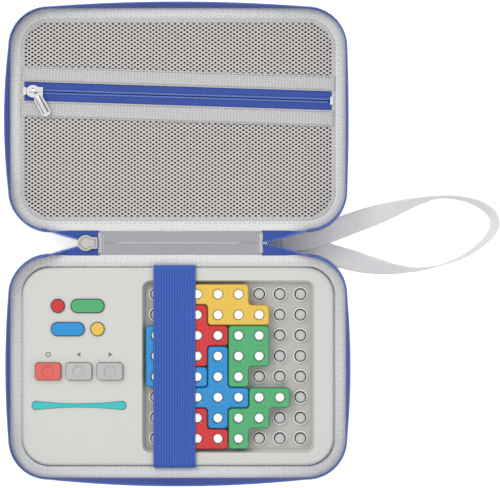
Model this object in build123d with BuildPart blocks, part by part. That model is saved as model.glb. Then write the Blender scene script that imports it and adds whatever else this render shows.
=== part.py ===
from build123d import *
import math
import os

# Puzzle game carrying case, open flat with its backs on the floor.
# X runs along the hinge, the lower half lies at -Y and the upper half at +Y, +Z is up.
# The origin is on the floor under the middle of the hinge panel. Millimetres.

os.makedirs("parts", exist_ok=True)

# Case halves
case_length = 204.0
case_width = 135.5
shell_depth = 21.0
corner_radius = 24.0
hinge_gap = 14.0
foam_wall = 5.0
foam_floor = 3.2
bottom_round = 9.0
inner_round = 4.0
lining_thickness = 0.8
binding_thickness = 1.4
binding_lap = 2.0
lap_thickness = 0.5
binding_round = 0.6

# Zipper tapes and teeth
tape_thickness = 0.9
tape_hem = 7.0
tape_stand_gap = 0.3
tape_corner_flare = -1.6
tape_side_bow = 2.2
tape_root_bow = 0.02
teeth_height = 1.6
teeth_width = 1.1
teeth_seat = 0.05
tape_end_start = 80.0

# Hinge panel
hinge_clearance = 0.4
panel_length = 99.4
panel_shift = 1.5
panel_layer = 0.7
seam_length = 76.0
seam_width = 1.6
seam_height = 0.5
end_tape_thickness = 0.8
end_teeth_thickness = 1.1
end_teeth_width = 1.2
closed_chain_gap = 0.15
left_v_half = 6.2
right_v_half = 6.0

# Sliders and pulls
main_slider_length = 12.0
main_slider_nose = 9.6
main_slider_tail = 7.0
main_slider_gap = 2.4
main_slider_slit = 1.8
main_slider_centre = -54.7
main_slider_post = 1.2
main_slider_plate = 1.0
main_pull_length = 15.0
main_pull_width = 5.0
main_pull_pin = 1.2
main_pull_window = 5.4
main_pull_arm = 1.0
pocket_slider_length = 10.0
pocket_slider_nose = 7.6
pocket_slider_tail = 5.4
pocket_slider_gap = 1.8
pocket_slider_slit = 1.0
pocket_slider_plate = 0.9
pocket_slider_centre = -87.0
pocket_slider_post = 0.6
pocket_pull_length = 17.0
pocket_pull_width = 5.6
pull_thickness = 1.4
bridge_rise = 2.8
bridge_bar = 0.8
bridge_width = 1.1
pull_eye_inner = 1.35
pull_eye_outer = 2.15
pull_eye_thickness = 1.2
pull_swing_angle = -61.0
pull_droop = 6.0

# Pocket of the upper half
mesh_thickness = 0.5
mesh_margin = 0.15
strip_thickness = 0.7
upper_strip_width = 9.4
lower_strip_width = 10.0
pocket_tape_width = 11.5
strip_overlap = 1.0
pocket_coil_width = 3.0
pocket_coil_height = 1.3
pocket_zip_angle = -1.8
pocket_zip_offset = 14.5
pocket_stop_length = 1.8
pocket_chain_gap = 0.45
net_column_pitch = 11.4
net_row_pitch = 5.0
net_hole_long = 7.4
net_hole_high = 6.2
net_border = 2.5

# Game housing
game_slack_x = 1.7
game_slack_y = 1.95
game_corner = 17.0
game_height = 18.2
game_split = 7.4
game_wall = 2.2
game_top_round = 2.0
game_bottom_round = 4.0
split_gap = 0.2
foot_height = 0.8
foot_diameter = 9.0
foot_inset = 24.0

# Board, light posts and blocks
cell_pitch = 12.5
cell_count = 8
board_right_margin = 14.1
board_margin = 0.3
board_depth = 5.0
board_slope = 20.0
board_thickness = 2.4
board_corner = 3.0
well_wall = 1.8
post_diameter = 5.8
post_height = 3.2
post_hole = 7.4
rim_diameter = 8.9
rim_height = 0.8
round_sides = 12
block_height = 5.2
block_gap = 0.15
block_hole = 6.2
block_corner = 2.2
block_edge = 0.5

# Control panel
control_left_margin = 8.2
control_right_margin = 13.7
button_spacing = 3.1
button_width = 10.3
button_row = -2.9
button_rise = 2.6
button_travel = 0.8
button_clearance = 0.3
button_corner = 1.8
button_flange = 0.8
button_flange_thickness = 1.4
dimple_diameter = 7.0
dimple_depth = 0.6
mark_rise = 10.2
mark_size = 3.2
mark_height = 0.2
bar_overhang = 1.8
bar_end = 4.9
bar_middle = 2.2
bar_row = -23.5
bar_seat = 1.6
bar_proud = 0.4
badge_shift = -0.8
badge_level = 29.7
badge_dot = 8.0
badge_pitch = 12.0
badge_row = 14.0
badge_seat = 0.8
badge_proud = 1.2
seat_clearance = 0.1

# Inside the game
board_sheet = 1.6
circuit_clearance = 2.0
circuit_edge = 1.0
wing_side_inset = 11.5
wing_end_inset = 6.0
wing_bay_gap = 3.4
switch_size = 6.0
switch_height = 1.9
switch_gap = 0.2
speaker_diameter = 28.0
speaker_height = 4.6
speaker_level = 32.0
cell_diameter = 10.5
cell_length = 44.5
cell_slack = 0.3
contact_thickness = 0.4
bay_wall = 1.2
bay_inset = 24.0
cover_thickness = 1.6
cover_lip = 1.4
screw_shank = 2.6
screw_head = 5.0
screw_head_height = 1.8
boss_diameter = 7.0
boss_inset = (6.5, 16.0)

# Elastic band
band_width = 25.5
band_thickness = 1.0
band_shift = -2.0
band_bend = 3.0
band_drop = 12.0
band_clearance = 0.3

# Wrist strap: X and Y of its middle line, lift off the floor, and turn of the webbing about that line
strap_width = 13.0
strap_thickness = 1.0
strap_lift = 0.1
tab_start = 54.0
tab_rise = 13.0
tab_sheet = 1.2
tab_fold = 2.8
tab_floor = 3.0
strap_start = 62.0
strap_route = [
    (62.0, 0.0, 4.0, 0), (71.0, 0.8, 2.6, 0), (81.0, 2.2, 1.15, 0), (91.0, 6.2, 1.15, 0),
    (104.0, 11.3, 0.2, 8), (118.0, 16.2, 0, 22), (132.0, 21.0, 0, 44), (146.0, 25.6, 0, 68),
    (159.0, 28.8, 0, 86), (171.0, 27.8, 0, 82), (181.0, 24.6, 0, 76), (189.0, 18.6, 0, 72),
    (191.0, 11.0, 0, 72), (187.0, 3.6, 0, 76), (178.0, -4.8, 0, 82), (167.0, -11.2, 0, 88),
    (154.0, -15.2, 0, 94), (142.0, -16.6, 0, 104), (129.0, -15.8, 0, 124), (116.0, -13.2, 0, 148),
    (104.0, -10.0, 0, 168), (91.0, -6.6, 0, 180), (81.0, -2.8, 0, 180), (71.0, -1.0, 1.2, 180),
    (62.0, 0.0, 2.8, 180)]

# Sizes worked out from the ones above
rim_top = shell_depth
foam_top = rim_top - binding_thickness
half_offset = hinge_gap / 2 + case_width / 2
base_side = -1
lid_side = 1
base_centre = base_side * half_offset
lid_centre = lid_side * half_offset
tray_length = case_length - 2 * (foam_wall + lining_thickness)
tray_width = case_width - 2 * (foam_wall + lining_thickness)
tray_corner = corner_radius - foam_wall - lining_thickness
tray_floor = foam_floor + lining_thickness
tape_rise = hinge_gap / 2 - tape_stand_gap / 2
panel_top = rim_top
panel_left = panel_shift - panel_length / 2
panel_right = panel_shift + panel_length / 2
tape_plane = panel_top - end_tape_thickness / 2
lap_bottom = rim_top - binding_lap
mesh_top = lap_bottom
zip_angle = math.radians(pocket_zip_angle)
zip_direction = Vector(math.cos(zip_angle), math.sin(zip_angle), 0)
zip_plane_height = mesh_top - mesh_thickness / 2
game_length = tray_length - 2 * game_slack_x
game_width = tray_width - 2 * game_slack_y
game_bottom = tray_floor + foot_height
game_top = game_bottom + game_height
game_middle = game_bottom + game_split
roof_bottom = game_top - game_wall
board_top = game_top - board_depth
board_bottom = board_top - board_thickness
board_size = cell_count * cell_pitch
board_shift = game_length / 2 - board_right_margin - board_size / 2
post_top = board_top + post_height
circuit_top = board_bottom - circuit_clearance + board_sheet
circuit_bottom = circuit_top - board_sheet
block_bottom = board_top + rim_height
block_top = block_bottom + block_height
band_floor = block_top + band_clearance
control_left = control_left_margin - game_length / 2
control_right = board_shift - board_size / 2 - control_right_margin
button_length = (control_right - control_left - 2 * button_spacing) / 3
button_pitch = button_length + button_spacing
button_column = (control_left + control_right) / 2
bar_length = control_right - control_left + 2 * bar_overhang
bar_centre = (button_column, bar_row)
badge_centre = (button_column + badge_shift, badge_level)
speaker_centre = (button_column, speaker_level)
bay_centre = (button_column, bay_inset - game_width / 2)


def save(piece, name):
    piece.part.label = name
    export_step(piece.part, f"parts/{name}.step")


def half_plane(side, height):
    """Plane of one case half: x along the hinge, y away from it, z up or down by the side."""
    return Plane(origin=(0, side * half_offset, height), x_dir=(1, 0, 0), z_dir=(0, 0, 1))


def game_plane(height, x=0.0, y=0.0):
    return Plane(origin=(x, base_centre + y, height))


def cell_place(row, column):
    """Middle of one board cell; rows count from the hinge side, columns from the right."""
    x = board_shift + (cell_count - 1) / 2 * cell_pitch - column * cell_pitch
    y = (cell_count - 1) / 2 * cell_pitch - row * cell_pitch
    return x, y


# Block with the outline of a half, drawn in by a trim, with its bottom edge rounded
def rounded_block(side, bottom, top, trim, rounding):
    with BuildPart() as block:
        with BuildSketch(half_plane(side, bottom)):
            RectangleRounded(case_length - 2 * trim, case_width - 2 * trim, corner_radius - trim)
        extrude(amount=top - bottom)
        fillet(block.faces().sort_by(Axis.Z)[0].edges(), rounding)
    return block.part


# Moulded foam shell of one half
def foam_shell(side):
    outside = rounded_block(side, 0, foam_top, 0, bottom_round)
    inside = rounded_block(side, foam_floor, rim_top, foam_wall, inner_round)
    with BuildPart() as shell:
        add(outside)
        add(inside, mode=Mode.SUBTRACT)
    return shell


# Fabric lining bonded to the inside of the foam
def fabric_lining(side):
    outside = rounded_block(side, foam_floor, foam_top, foam_wall, inner_round)
    inside = rounded_block(
        side, tray_floor, rim_top, foam_wall + lining_thickness, inner_round - lining_thickness)
    with BuildPart() as lining:
        add(outside)
        add(inside, mode=Mode.SUBTRACT)
    return lining


# Grosgrain ribbon folded over the rim, with a short lap down the inside
def rim_binding(side):
    with BuildPart() as binding:
        with BuildSketch(half_plane(side, foam_top)):
            RectangleRounded(case_length, case_width, corner_radius)
            RectangleRounded(tray_length, tray_width, tray_corner, mode=Mode.SUBTRACT)
        extrude(amount=binding_thickness)
        with BuildSketch(half_plane(side, lap_bottom)):
            RectangleRounded(tray_length, tray_width, tray_corner)
            RectangleRounded(
                tray_length - 2 * lap_thickness, tray_width - 2 * lap_thickness,
                tray_corner - lap_thickness, mode=Mode.SUBTRACT)
        extrude(amount=binding_lap)
        fillet(binding.faces().sort_by(Axis.Z)[-1].edges(), binding_round)
    return binding


# Outline round a half: four sides that may bow outward, joined by corner arcs
def rim_outline(grow, bow):
    half_x = case_length / 2 + grow
    half_y = case_width / 2 + grow
    radius = corner_radius + grow
    inset = radius * (1 - math.sqrt(0.5))
    straight_x = half_x - radius
    straight_y = half_y - radius
    with BuildLine() as outline:
        for sx, sy in ((1, 1), (-1, 1), (-1, -1), (1, -1)):
            ThreePointArc(
                (sx * half_x, sy * straight_y),
                (sx * (half_x - inset), sy * (half_y - inset)),
                (sx * straight_x, sy * half_y))
        for s in (1, -1):
            ThreePointArc((straight_x, s * half_y), (0, s * (half_y + bow)), (-straight_x, s * half_y))
            ThreePointArc((s * half_x, straight_y), (s * (half_x + bow), 0), (s * half_x, -straight_y))
    return outline.line


def tape_outline(side, height, grow):
    """Face inside the standing tape at a height over the rim, grown outward."""
    share = height / tape_rise
    bow = tape_root_bow + share * (tape_side_bow - tape_root_bow)
    with BuildSketch(half_plane(side, rim_top + height)) as sketch:
        make_face(rim_outline(share * tape_corner_flare + grow, bow).edges())
    return sketch.sketch.face()


def standing_ring(side, low, inner, thickness):
    """Leaning ring from a height over the rim to the top of the tape, open along the hinge."""
    outer = inner + thickness
    with BuildPart() as ring:
        loft([tape_outline(side, low, outer), tape_outline(side, tape_rise, outer)], ruled=True)
        loft([tape_outline(side, low, inner), tape_outline(side, tape_rise, inner)],
             ruled=True, mode=Mode.SUBTRACT)
    return ring.part


# Zipper tape: a hem sewn round the wall and a strip that stands above the rim,
# leaning in at the corners and bowing out along the sides
def zipper_tape(side):
    ring = standing_ring(side, 0.0, 0.0, tape_thickness)
    with BuildPart() as tape:
        add(ring)
        with BuildSketch(half_plane(side, rim_top - tape_hem)):
            RectangleRounded(
                case_length + 2 * tape_thickness, case_width + 2 * tape_thickness, corner_radius + tape_thickness)
            RectangleRounded(case_length, case_width, corner_radius, mode=Mode.SUBTRACT)
        extrude(amount=tape_hem)
        with BuildSketch(half_plane(side, 0)):
            with Locations((0, -side * case_width / 2)):
                Rectangle(2 * tape_end_start, case_width / 2)
        extrude(amount=2 * rim_top, mode=Mode.SUBTRACT)
    return tape


# Bead of coil teeth along the outside of the tape's top edge
def zipper_teeth(side):
    ring = standing_ring(side, tape_rise - teeth_height, tape_thickness + teeth_seat, teeth_width)
    with BuildPart() as teeth:
        add(ring)
        with BuildSketch(half_plane(side, 0)):
            with Locations((0, -side * case_width / 2)):
                Rectangle(2 * tape_end_start, case_width / 2)
        extrude(amount=2 * rim_top, mode=Mode.SUBTRACT)
    return teeth


for half_name, half_side in (("base", base_side), ("lid", lid_side)):
    save(foam_shell(half_side), f"{half_name}_shell")
    save(fabric_lining(half_side), f"{half_name}_lining")
    save(rim_binding(half_side), f"{half_name}_binding")
    save(zipper_tape(half_side), f"{half_name}_zipper_tape")
    save(zipper_teeth(half_side), f"{half_name}_zipper_teeth")

# Hinge panel: inner ribbed layer that shows when open, and the outer layer under it
panel_width = hinge_gap - 2 * hinge_clearance
with BuildPart() as hinge_inner_panel:
    with BuildSketch(Plane.XY.offset(panel_top - panel_layer)):
        with Locations((panel_shift, 0)):
            Rectangle(panel_length, panel_width)
    extrude(amount=panel_layer)
    with BuildSketch(Plane.XY.offset(panel_top)):
        with Locations((panel_shift, 0)):
            SlotOverall(seam_length, seam_width)
    extrude(amount=seam_height)
save(hinge_inner_panel, "hinge_inner_panel")

with BuildPart() as hinge_outer_panel:
    with BuildSketch(Plane.XY.offset(panel_top - 2 * panel_layer)):
        with Locations((panel_shift, 0)):
            Rectangle(panel_length, panel_width)
    extrude(amount=panel_layer)
save(hinge_outer_panel, "hinge_outer_panel")


# Chain ends beside the hinge panel: where each starts at the panel, meets, and how wide its V opens
panel_tuck = 0.2
v_end = tape_end_start - 0.5
chain_ends = (
    (panel_left - panel_tuck, main_slider_centre + 0.5, -v_end, left_v_half),
    (panel_right + panel_tuck, panel_right + 2.0, v_end, right_v_half))

with BuildPart() as zipper_end_tapes:
    with BuildSketch(Plane.XY.offset(tape_plane - end_tape_thickness / 2)):
        for inner_x, meet_x, outer_x, v_half in chain_ends:
            for s in (1, -1):
                with BuildLine():
                    Polyline(
                        (inner_x, s * panel_width / 2), (inner_x, s * closed_chain_gap),
                        (meet_x, s * closed_chain_gap), (outer_x, s * v_half),
                        (outer_x, s * panel_width / 2), close=True)
                make_face()
    extrude(amount=end_tape_thickness)
save(zipper_end_tapes, "zipper_end_tapes")

# Teeth along both edges of each V
with BuildPart() as zipper_end_teeth:
    with BuildSketch(Plane.XY.offset(tape_plane + end_tape_thickness / 2)):
        for inner_x, meet_x, outer_x, v_half in chain_ends:
            lean = math.atan2(v_half - closed_chain_gap, abs(outer_x - meet_x))
            shift = end_teeth_width / math.cos(lean)
            tip = v_half - end_teeth_width / 2
            for s in (1, -1):
                with BuildLine():
                    Polyline(
                        (inner_x, s * closed_chain_gap), (meet_x, s * closed_chain_gap), (outer_x, s * tip),
                        (outer_x, s * (tip + end_teeth_width / 2)), (meet_x, s * (closed_chain_gap + shift)),
                        (inner_x, s * (closed_chain_gap + shift)), close=True)
                make_face()
    extrude(amount=end_teeth_thickness - end_tape_thickness)
save(zipper_end_teeth, "zipper_end_teeth")


# Slider on a plane whose x points to the nose and whose z points to the pull's side
def slider_body(plane, length, nose, tail, gap, slit, plate, post):
    nose_tip = nose * 0.42
    waist = -length * 0.2
    belly = length * 0.07
    turned_edge = (gap - slit) / 2
    leg = length * 0.1
    span = length * 0.76
    with BuildPart() as body:
        for level in (-gap / 2 - plate, gap / 2):
            with BuildSketch(plane.offset(level)):
                with BuildLine():
                    Line((length / 2, -nose_tip / 2), (length / 2, nose_tip / 2))
                    Spline((length / 2, nose_tip / 2), (belly, nose / 2), (waist, tail / 2))
                    Polyline((waist, tail / 2), (-length / 2, tail / 2), (-length / 2, -tail / 2), (waist, -tail / 2))
                    Spline((waist, -tail / 2), (belly, -nose / 2), (length / 2, -nose_tip / 2))
                make_face()
            extrude(amount=plate)
        # Turned-in edges along the tail leave a slit for the tape
        for level in (-gap / 2, slit / 2):
            with BuildSketch(plane.offset(level)):
                with Locations((-length * 0.35, (tail - plate) / 2), (-length * 0.35, (plate - tail) / 2)):
                    Rectangle(length * 0.3, plate)
            extrude(amount=turned_edge)
        # Post between the plates, in the mouth
        with BuildSketch(plane.offset(-gap / 2)):
            with Locations((length / 2 - nose_tip / 2, 0)):
                Rectangle(nose_tip * 0.8, post)
        extrude(amount=gap)
        # Bridge that holds the eye of the pull
        with BuildSketch(plane.offset(gap / 2 + plate)):
            with Locations(((span - leg) / 2, 0), ((leg - span) / 2, 0)):
                Rectangle(leg, bridge_width)
        extrude(amount=bridge_rise)
        with BuildSketch(plane.offset(gap / 2 + plate + bridge_rise - bridge_bar)):
            Rectangle(span, bridge_width)
        extrude(amount=bridge_bar)
    return body


# Flat grooved shank of a pull, on a plane whose x points to its tip
def pull_shank(plane, neck_start, neck_width, shoulder, length, width):
    round_start = length - width * 0.3
    with BuildPart() as shank:
        with BuildSketch(plane.offset(-pull_thickness / 2)):
            with BuildLine():
                Polyline((neck_start, -neck_width / 2), (neck_start, neck_width / 2), (shoulder, width / 2),
                         (round_start, width / 2))
                ThreePointArc((round_start, width / 2), (length, 0), (round_start, -width / 2))
                Polyline((round_start, -width / 2), (shoulder, -width / 2), (neck_start, -neck_width / 2))
            make_face()
        extrude(amount=pull_thickness)
        with BuildSketch(plane.offset(pull_thickness / 2)):
            with Locations(((shoulder + length) / 2, 0)):
                SlotOverall((length - shoulder) * 0.75, width * 0.28)
        extrude(amount=-pull_thickness * 0.3, mode=Mode.SUBTRACT)
    return shank.part


# Main slider lies with its pull underneath, hanging down between the halves
main_plane = Plane(origin=(main_slider_centre, 0, tape_plane), x_dir=(-1, 0, 0), z_dir=(0, 0, -1))
main_slider = slider_body(
    main_plane, main_slider_length, main_slider_nose, main_slider_tail,
    main_slider_gap, main_slider_slit, main_slider_plate, main_slider_post)
save(main_slider, "main_slider")

# Main pull: a pin under the bridge, two arms beside it and the shank
main_pin_height = tape_plane - main_slider_gap / 2 - main_slider_plate - (bridge_rise - bridge_bar) / 2
main_pull_plane = Plane(origin=(main_slider_centre, 0, main_pin_height), x_dir=(0, 0, -1), z_dir=(1, 0, 0))
arm_inner = bridge_width / 2 + hinge_clearance
arm_outer = arm_inner + main_pull_arm
main_shank = pull_shank(
    main_pull_plane, main_pull_window, 2 * arm_outer, main_pull_window + 1, main_pull_length, main_pull_width)
with BuildPart() as main_pull:
    with BuildSketch(main_pull_plane.offset(-main_pull_pin / 2)):
        for s in (1, -1):
            with Locations((main_pull_window / 2, s * (arm_inner + main_pull_arm / 2))):
                Rectangle(main_pull_window + main_pull_pin, main_pull_arm)
    extrude(amount=main_pull_pin)
    with BuildSketch(Plane.XZ.offset(-arm_outer)):
        with Locations((main_slider_centre, main_pin_height)):
            Circle(main_pull_pin / 2)
    extrude(amount=2 * arm_outer)
    add(main_shank)
save(main_pull, "main_pull")


# Pocket of the upper half: places measured square to its zipper
def across_zip(distance):
    return (-distance * math.sin(zip_angle), pocket_zip_offset + distance * math.cos(zip_angle))


mesh_length = tray_length - 2 * mesh_margin
mesh_width = tray_width - 2 * mesh_margin
mesh_corner = tray_corner - mesh_margin
inside_lap = 2 * lap_thickness
upper_net_edge = pocket_tape_width / 2 + upper_strip_width - strip_overlap
lower_net_edge = -(pocket_tape_width / 2 + lower_strip_width - strip_overlap)


def inside_net(x, y, side):
    """True where a hole of the net stays clear of its edges."""
    reach_x = abs(x) + net_hole_long / 2 + net_border
    reach_y = abs(y) + net_hole_high / 2 + net_border
    corner_x = mesh_length / 2 - mesh_corner
    corner_y = mesh_width / 2 - mesh_corner
    if reach_x > mesh_length / 2 or reach_y > mesh_width / 2:
        return False
    if reach_x > corner_x and reach_y > corner_y:
        if math.hypot(reach_x - corner_x, reach_y - corner_y) > mesh_corner:
            return False
    edge = upper_net_edge if side > 0 else lower_net_edge
    above = (y - across_zip(0)[1]) * math.cos(zip_angle) - x * math.sin(zip_angle)
    return side * (above - edge) > net_hole_high / 2 + strip_overlap + 1


def net_places(side):
    places = []
    columns = int(mesh_length / net_column_pitch) + 1
    rows = int(mesh_width / net_row_pitch) + 1
    for row in range(-rows, rows + 1):
        shift = 0.5 * net_column_pitch if row % 2 else 0.0
        for column in range(-columns, columns + 1):
            place = (column * net_column_pitch + shift, row * net_row_pitch)
            if inside_net(place[0], place[1], side):
                places.append(place)
    return places


# Mesh net above or below the pocket zipper
def pocket_net(side):
    edge = upper_net_edge if side > 0 else lower_net_edge
    with BuildPart() as net:
        with BuildSketch(half_plane(lid_side, mesh_top - mesh_thickness)):
            with Locations(across_zip(edge + side * mesh_width / 2)):
                Rectangle(1.5 * mesh_length, mesh_width, rotation=pocket_zip_angle)
            RectangleRounded(mesh_length, mesh_width, mesh_corner, mode=Mode.INTERSECT)
            with Locations(*net_places(side)):
                Polygon((net_hole_long / 2, 0), (0, net_hole_high / 2), (-net_hole_long / 2, 0),
                        (0, -net_hole_high / 2), align=None, mode=Mode.SUBTRACT)
        extrude(amount=mesh_thickness)
    return net


# One band of the pocket: its near and far edge, square to the zipper, and its height
def pocket_band(near, far, bottom, thickness, trim):
    with BuildPart() as band:
        with BuildSketch(half_plane(lid_side, bottom)):
            with Locations(across_zip((near + far) / 2)):
                Rectangle(1.5 * mesh_length, far - near, rotation=pocket_zip_angle)
            RectangleRounded(mesh_length - trim, mesh_width - trim, mesh_corner - trim / 2, mode=Mode.INTERSECT)
        extrude(amount=thickness)
    return band


tape_edge = pocket_tape_width / 2
mesh_bottom = mesh_top - mesh_thickness
save(pocket_net(1), "pocket_net_upper")
save(pocket_net(-1), "pocket_net_lower")
save(pocket_band(tape_edge, tape_edge + upper_strip_width, mesh_top, strip_thickness, inside_lap),
     "pocket_strip_upper")
save(pocket_band(-tape_edge - lower_strip_width, -tape_edge, mesh_top, strip_thickness, inside_lap),
     "pocket_strip_lower")
save(pocket_band(pocket_chain_gap, upper_net_edge, mesh_bottom, mesh_thickness, 0), "pocket_tape_upper")
save(pocket_band(lower_net_edge, -pocket_chain_gap, mesh_bottom, mesh_thickness, 0), "pocket_tape_lower")

# Coil of the pocket zipper: a bead on each tape, above and below it
coil_run = mesh_length - 2 * (pocket_stop_length + 2.0)
coil_lip = (pocket_coil_height - mesh_thickness) / 2
with BuildPart() as pocket_coil:
    for level in (mesh_bottom - coil_lip, mesh_top):
        with BuildSketch(half_plane(lid_side, level)):
            for s in (1, -1):
                with Locations(across_zip(s * (pocket_chain_gap + pocket_coil_width / 2) / 2)):
                    Rectangle(coil_run, pocket_coil_width / 2 - pocket_chain_gap, rotation=pocket_zip_angle)
        extrude(amount=coil_lip)
save(pocket_coil, "pocket_coil")

# Metal stops at both ends of the coil
with BuildPart() as pocket_end_stops:
    with BuildSketch(half_plane(lid_side, mesh_top)):
        for s in (1, -1):
            reach = s * (coil_run + pocket_stop_length) / 2
            with Locations((reach * math.cos(zip_angle), pocket_zip_offset + reach * math.sin(zip_angle))):
                Rectangle(pocket_stop_length, 1.6 * pocket_coil_width, rotation=pocket_zip_angle)
    extrude(amount=pocket_coil_height)
save(pocket_end_stops, "pocket_end_stops")

pocket_zip_origin = Vector(0, lid_centre + pocket_zip_offset, zip_plane_height)
pocket_slider_origin = pocket_zip_origin + zip_direction * pocket_slider_centre
pocket_plane = Plane(origin=pocket_slider_origin, x_dir=-zip_direction, z_dir=(0, 0, 1))
pocket_slider = slider_body(
    pocket_plane, pocket_slider_length, pocket_slider_nose, pocket_slider_tail,
    pocket_slider_gap, pocket_slider_slit, pocket_slider_plate, pocket_slider_post)
save(pocket_slider, "pocket_slider")
pocket_bar_rise = pocket_slider_gap / 2 + pocket_slider_plate + bridge_rise - bridge_bar / 2
swing = math.radians(pull_swing_angle)
droop = math.radians(pull_droop)
pull_direction = Vector(math.cos(swing) * math.cos(droop), math.sin(swing) * math.cos(droop), -math.sin(droop))
pull_axis = Vector(math.sin(swing), -math.cos(swing), 0)
pocket_pull_plane = Plane(
    origin=pocket_slider_origin + Vector(0, 0, pocket_bar_rise),
    x_dir=pull_direction, z_dir=pull_axis.cross(pull_direction))
pull_eye_plane = Plane(
    origin=pocket_pull_plane.origin + pocket_pull_plane.y_dir * (pull_eye_thickness / 2),
    x_dir=pocket_pull_plane.x_dir, z_dir=-pocket_pull_plane.y_dir)
pocket_shank = pull_shank(
    pocket_pull_plane, (pull_eye_inner + pull_eye_outer) / 2, pocket_pull_width * 0.4,
    pocket_pull_length * 0.3, pocket_pull_length, pocket_pull_width)
with BuildPart() as pocket_pull:
    add(pocket_shank)
    with BuildSketch(pull_eye_plane):
        Circle(pull_eye_outer)
        Circle(pull_eye_inner, mode=Mode.SUBTRACT)
    extrude(amount=pull_eye_thickness)
save(pocket_pull, "pocket_pull")
print("pocket pull hinge", pocket_pull_plane.origin, pull_axis)
print("main pull hinge height", main_pin_height)

# Lower housing of the game, with the battery bay and screw bosses
boss_places = [
    (sx * (game_length / 2 - boss_inset[0]), sy * (game_width / 2 - boss_inset[1]))
    for sx in (1, -1) for sy in (1, -1)]
bay_length = cell_length + 2 * cell_slack + 2 * contact_thickness
bay_width = 3 * (cell_diameter + cell_slack) + cell_slack
bay_top = game_bottom + cover_thickness + cell_slack + cell_diameter + cell_slack
housing_inner = (game_length - 2 * game_wall, game_width - 2 * game_wall, game_corner - game_wall)
floor_top = game_bottom + game_wall
with BuildPart() as game_lower_housing:
    with BuildSketch(game_plane(game_bottom)):
        RectangleRounded(game_length, game_width, game_corner)
    extrude(amount=game_split)
    fillet(game_lower_housing.faces().sort_by(Axis.Z)[0].edges(), game_bottom_round)
    with BuildSketch(game_plane(floor_top)):
        RectangleRounded(*housing_inner)
    extrude(amount=game_split, mode=Mode.SUBTRACT)
    inner_floor = game_lower_housing.faces().filter_by(Plane.XY).sort_by(Axis.Z)[1]
    fillet(inner_floor.edges(), game_bottom_round - game_wall)
    with BuildSketch(game_plane(game_bottom + cover_thickness, *bay_centre)):
        Rectangle(bay_length + 2 * bay_wall, bay_width + 2 * bay_wall)
    extrude(amount=bay_top + bay_wall - game_bottom - cover_thickness)
    with BuildSketch(game_plane(game_bottom + cover_thickness, *bay_centre)):
        Rectangle(bay_length, bay_width)
    extrude(amount=bay_top - game_bottom - cover_thickness, mode=Mode.SUBTRACT)
    with BuildSketch(game_plane(game_bottom, *bay_centre)):
        Rectangle(bay_length + 2 * cover_lip, bay_width + 2 * cover_lip)
    extrude(amount=cover_thickness, mode=Mode.SUBTRACT)
    with BuildSketch(game_plane(floor_top)):
        with Locations(*boss_places):
            Circle(boss_diameter / 2)
    extrude(amount=game_split - game_wall)
    with BuildSketch(game_plane(game_bottom)):
        with Locations(*boss_places):
            Circle(screw_head / 2 + seat_clearance)
    extrude(amount=screw_head_height, mode=Mode.SUBTRACT)
    with BuildSketch(game_plane(game_bottom)):
        with Locations(*boss_places):
            Circle(screw_shank / 2 + seat_clearance)
    extrude(amount=game_split, mode=Mode.SUBTRACT)
    # Pillars under the circuit board
    with BuildSketch(game_plane(floor_top, board_shift)):
        with GridLocations(board_size - cell_pitch, board_size - cell_pitch, 2, 2):
            Circle(boss_diameter / 2)
    extrude(amount=circuit_bottom - floor_top)
save(game_lower_housing, "game_lower_housing")

with BuildPart() as battery_cover:
    with BuildSketch(game_plane(game_bottom, *bay_centre)):
        Rectangle(bay_length + 2 * (cover_lip - seat_clearance), bay_width + 2 * (cover_lip - seat_clearance))
    extrude(amount=cover_thickness)
save(battery_cover, "battery_cover")

cell_row = cell_diameter + cell_slack
cell_axis_height = game_bottom + cover_thickness + cell_slack + cell_diameter / 2
with BuildPart() as battery_cells:
    for row in (-1, 0, 1):
        centre = (bay_centre[0] - cell_length / 2, base_centre + bay_centre[1] + row * cell_row, cell_axis_height)
        with BuildSketch(Plane(origin=centre, x_dir=(0, 1, 0), z_dir=(1, 0, 0))):
            Circle(cell_diameter / 2)
        extrude(amount=cell_length)
save(battery_cells, "battery_cells")

with BuildPart() as battery_contacts:
    for s in (1, -1):
        reach = bay_centre[0] + s * (bay_length - contact_thickness) / 2
        centre = (reach - contact_thickness / 2, base_centre + bay_centre[1], cell_axis_height)
        with BuildSketch(Plane(origin=centre, x_dir=(0, 1, 0), z_dir=(1, 0, 0))):
            with GridLocations(cell_row, 0, 3, 1):
                Rectangle(cell_diameter * 0.7, cell_diameter * 0.7)
        extrude(amount=contact_thickness)
save(battery_contacts, "battery_contacts")

with BuildPart() as game_feet:
    with BuildSketch(game_plane(tray_floor)):
        with GridLocations(game_length - 2 * foot_inset, game_width - 2 * foot_inset, 2, 2):
            Circle(foot_diameter / 2)
    extrude(amount=foot_height)
save(game_feet, "game_feet")


def button_place(index):
    return button_column + index * button_pitch, button_row


# Outline of the light bar: round ends and a slim waist
def bar_outline(grow):
    end = bar_end / 2 + grow
    middle = bar_middle / 2 + grow
    reach = bar_length / 2 - bar_end / 2
    with BuildLine() as outline:
        ThreePointArc((reach, -end), (reach + end, 0), (reach, end))
        ThreePointArc((reach, end), (0, middle), (-reach, end))
        ThreePointArc((-reach, end), (-reach - end, 0), (-reach, -end))
        ThreePointArc((-reach, -end), (0, -middle), (reach, -end))
    return outline.line.edges()


# Generic badge: two dots and two bars in two rows, as colour, middle and length
badge_tiles = {
    "badge_red": (-badge_pitch, badge_row / 2, badge_dot),
    "badge_green": (badge_pitch / 2, badge_row / 2, badge_dot + badge_pitch),
    "badge_blue": (-badge_pitch / 2, -badge_row / 2, badge_dot + badge_pitch),
    "badge_yellow": (badge_pitch, -badge_row / 2, badge_dot)}


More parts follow.
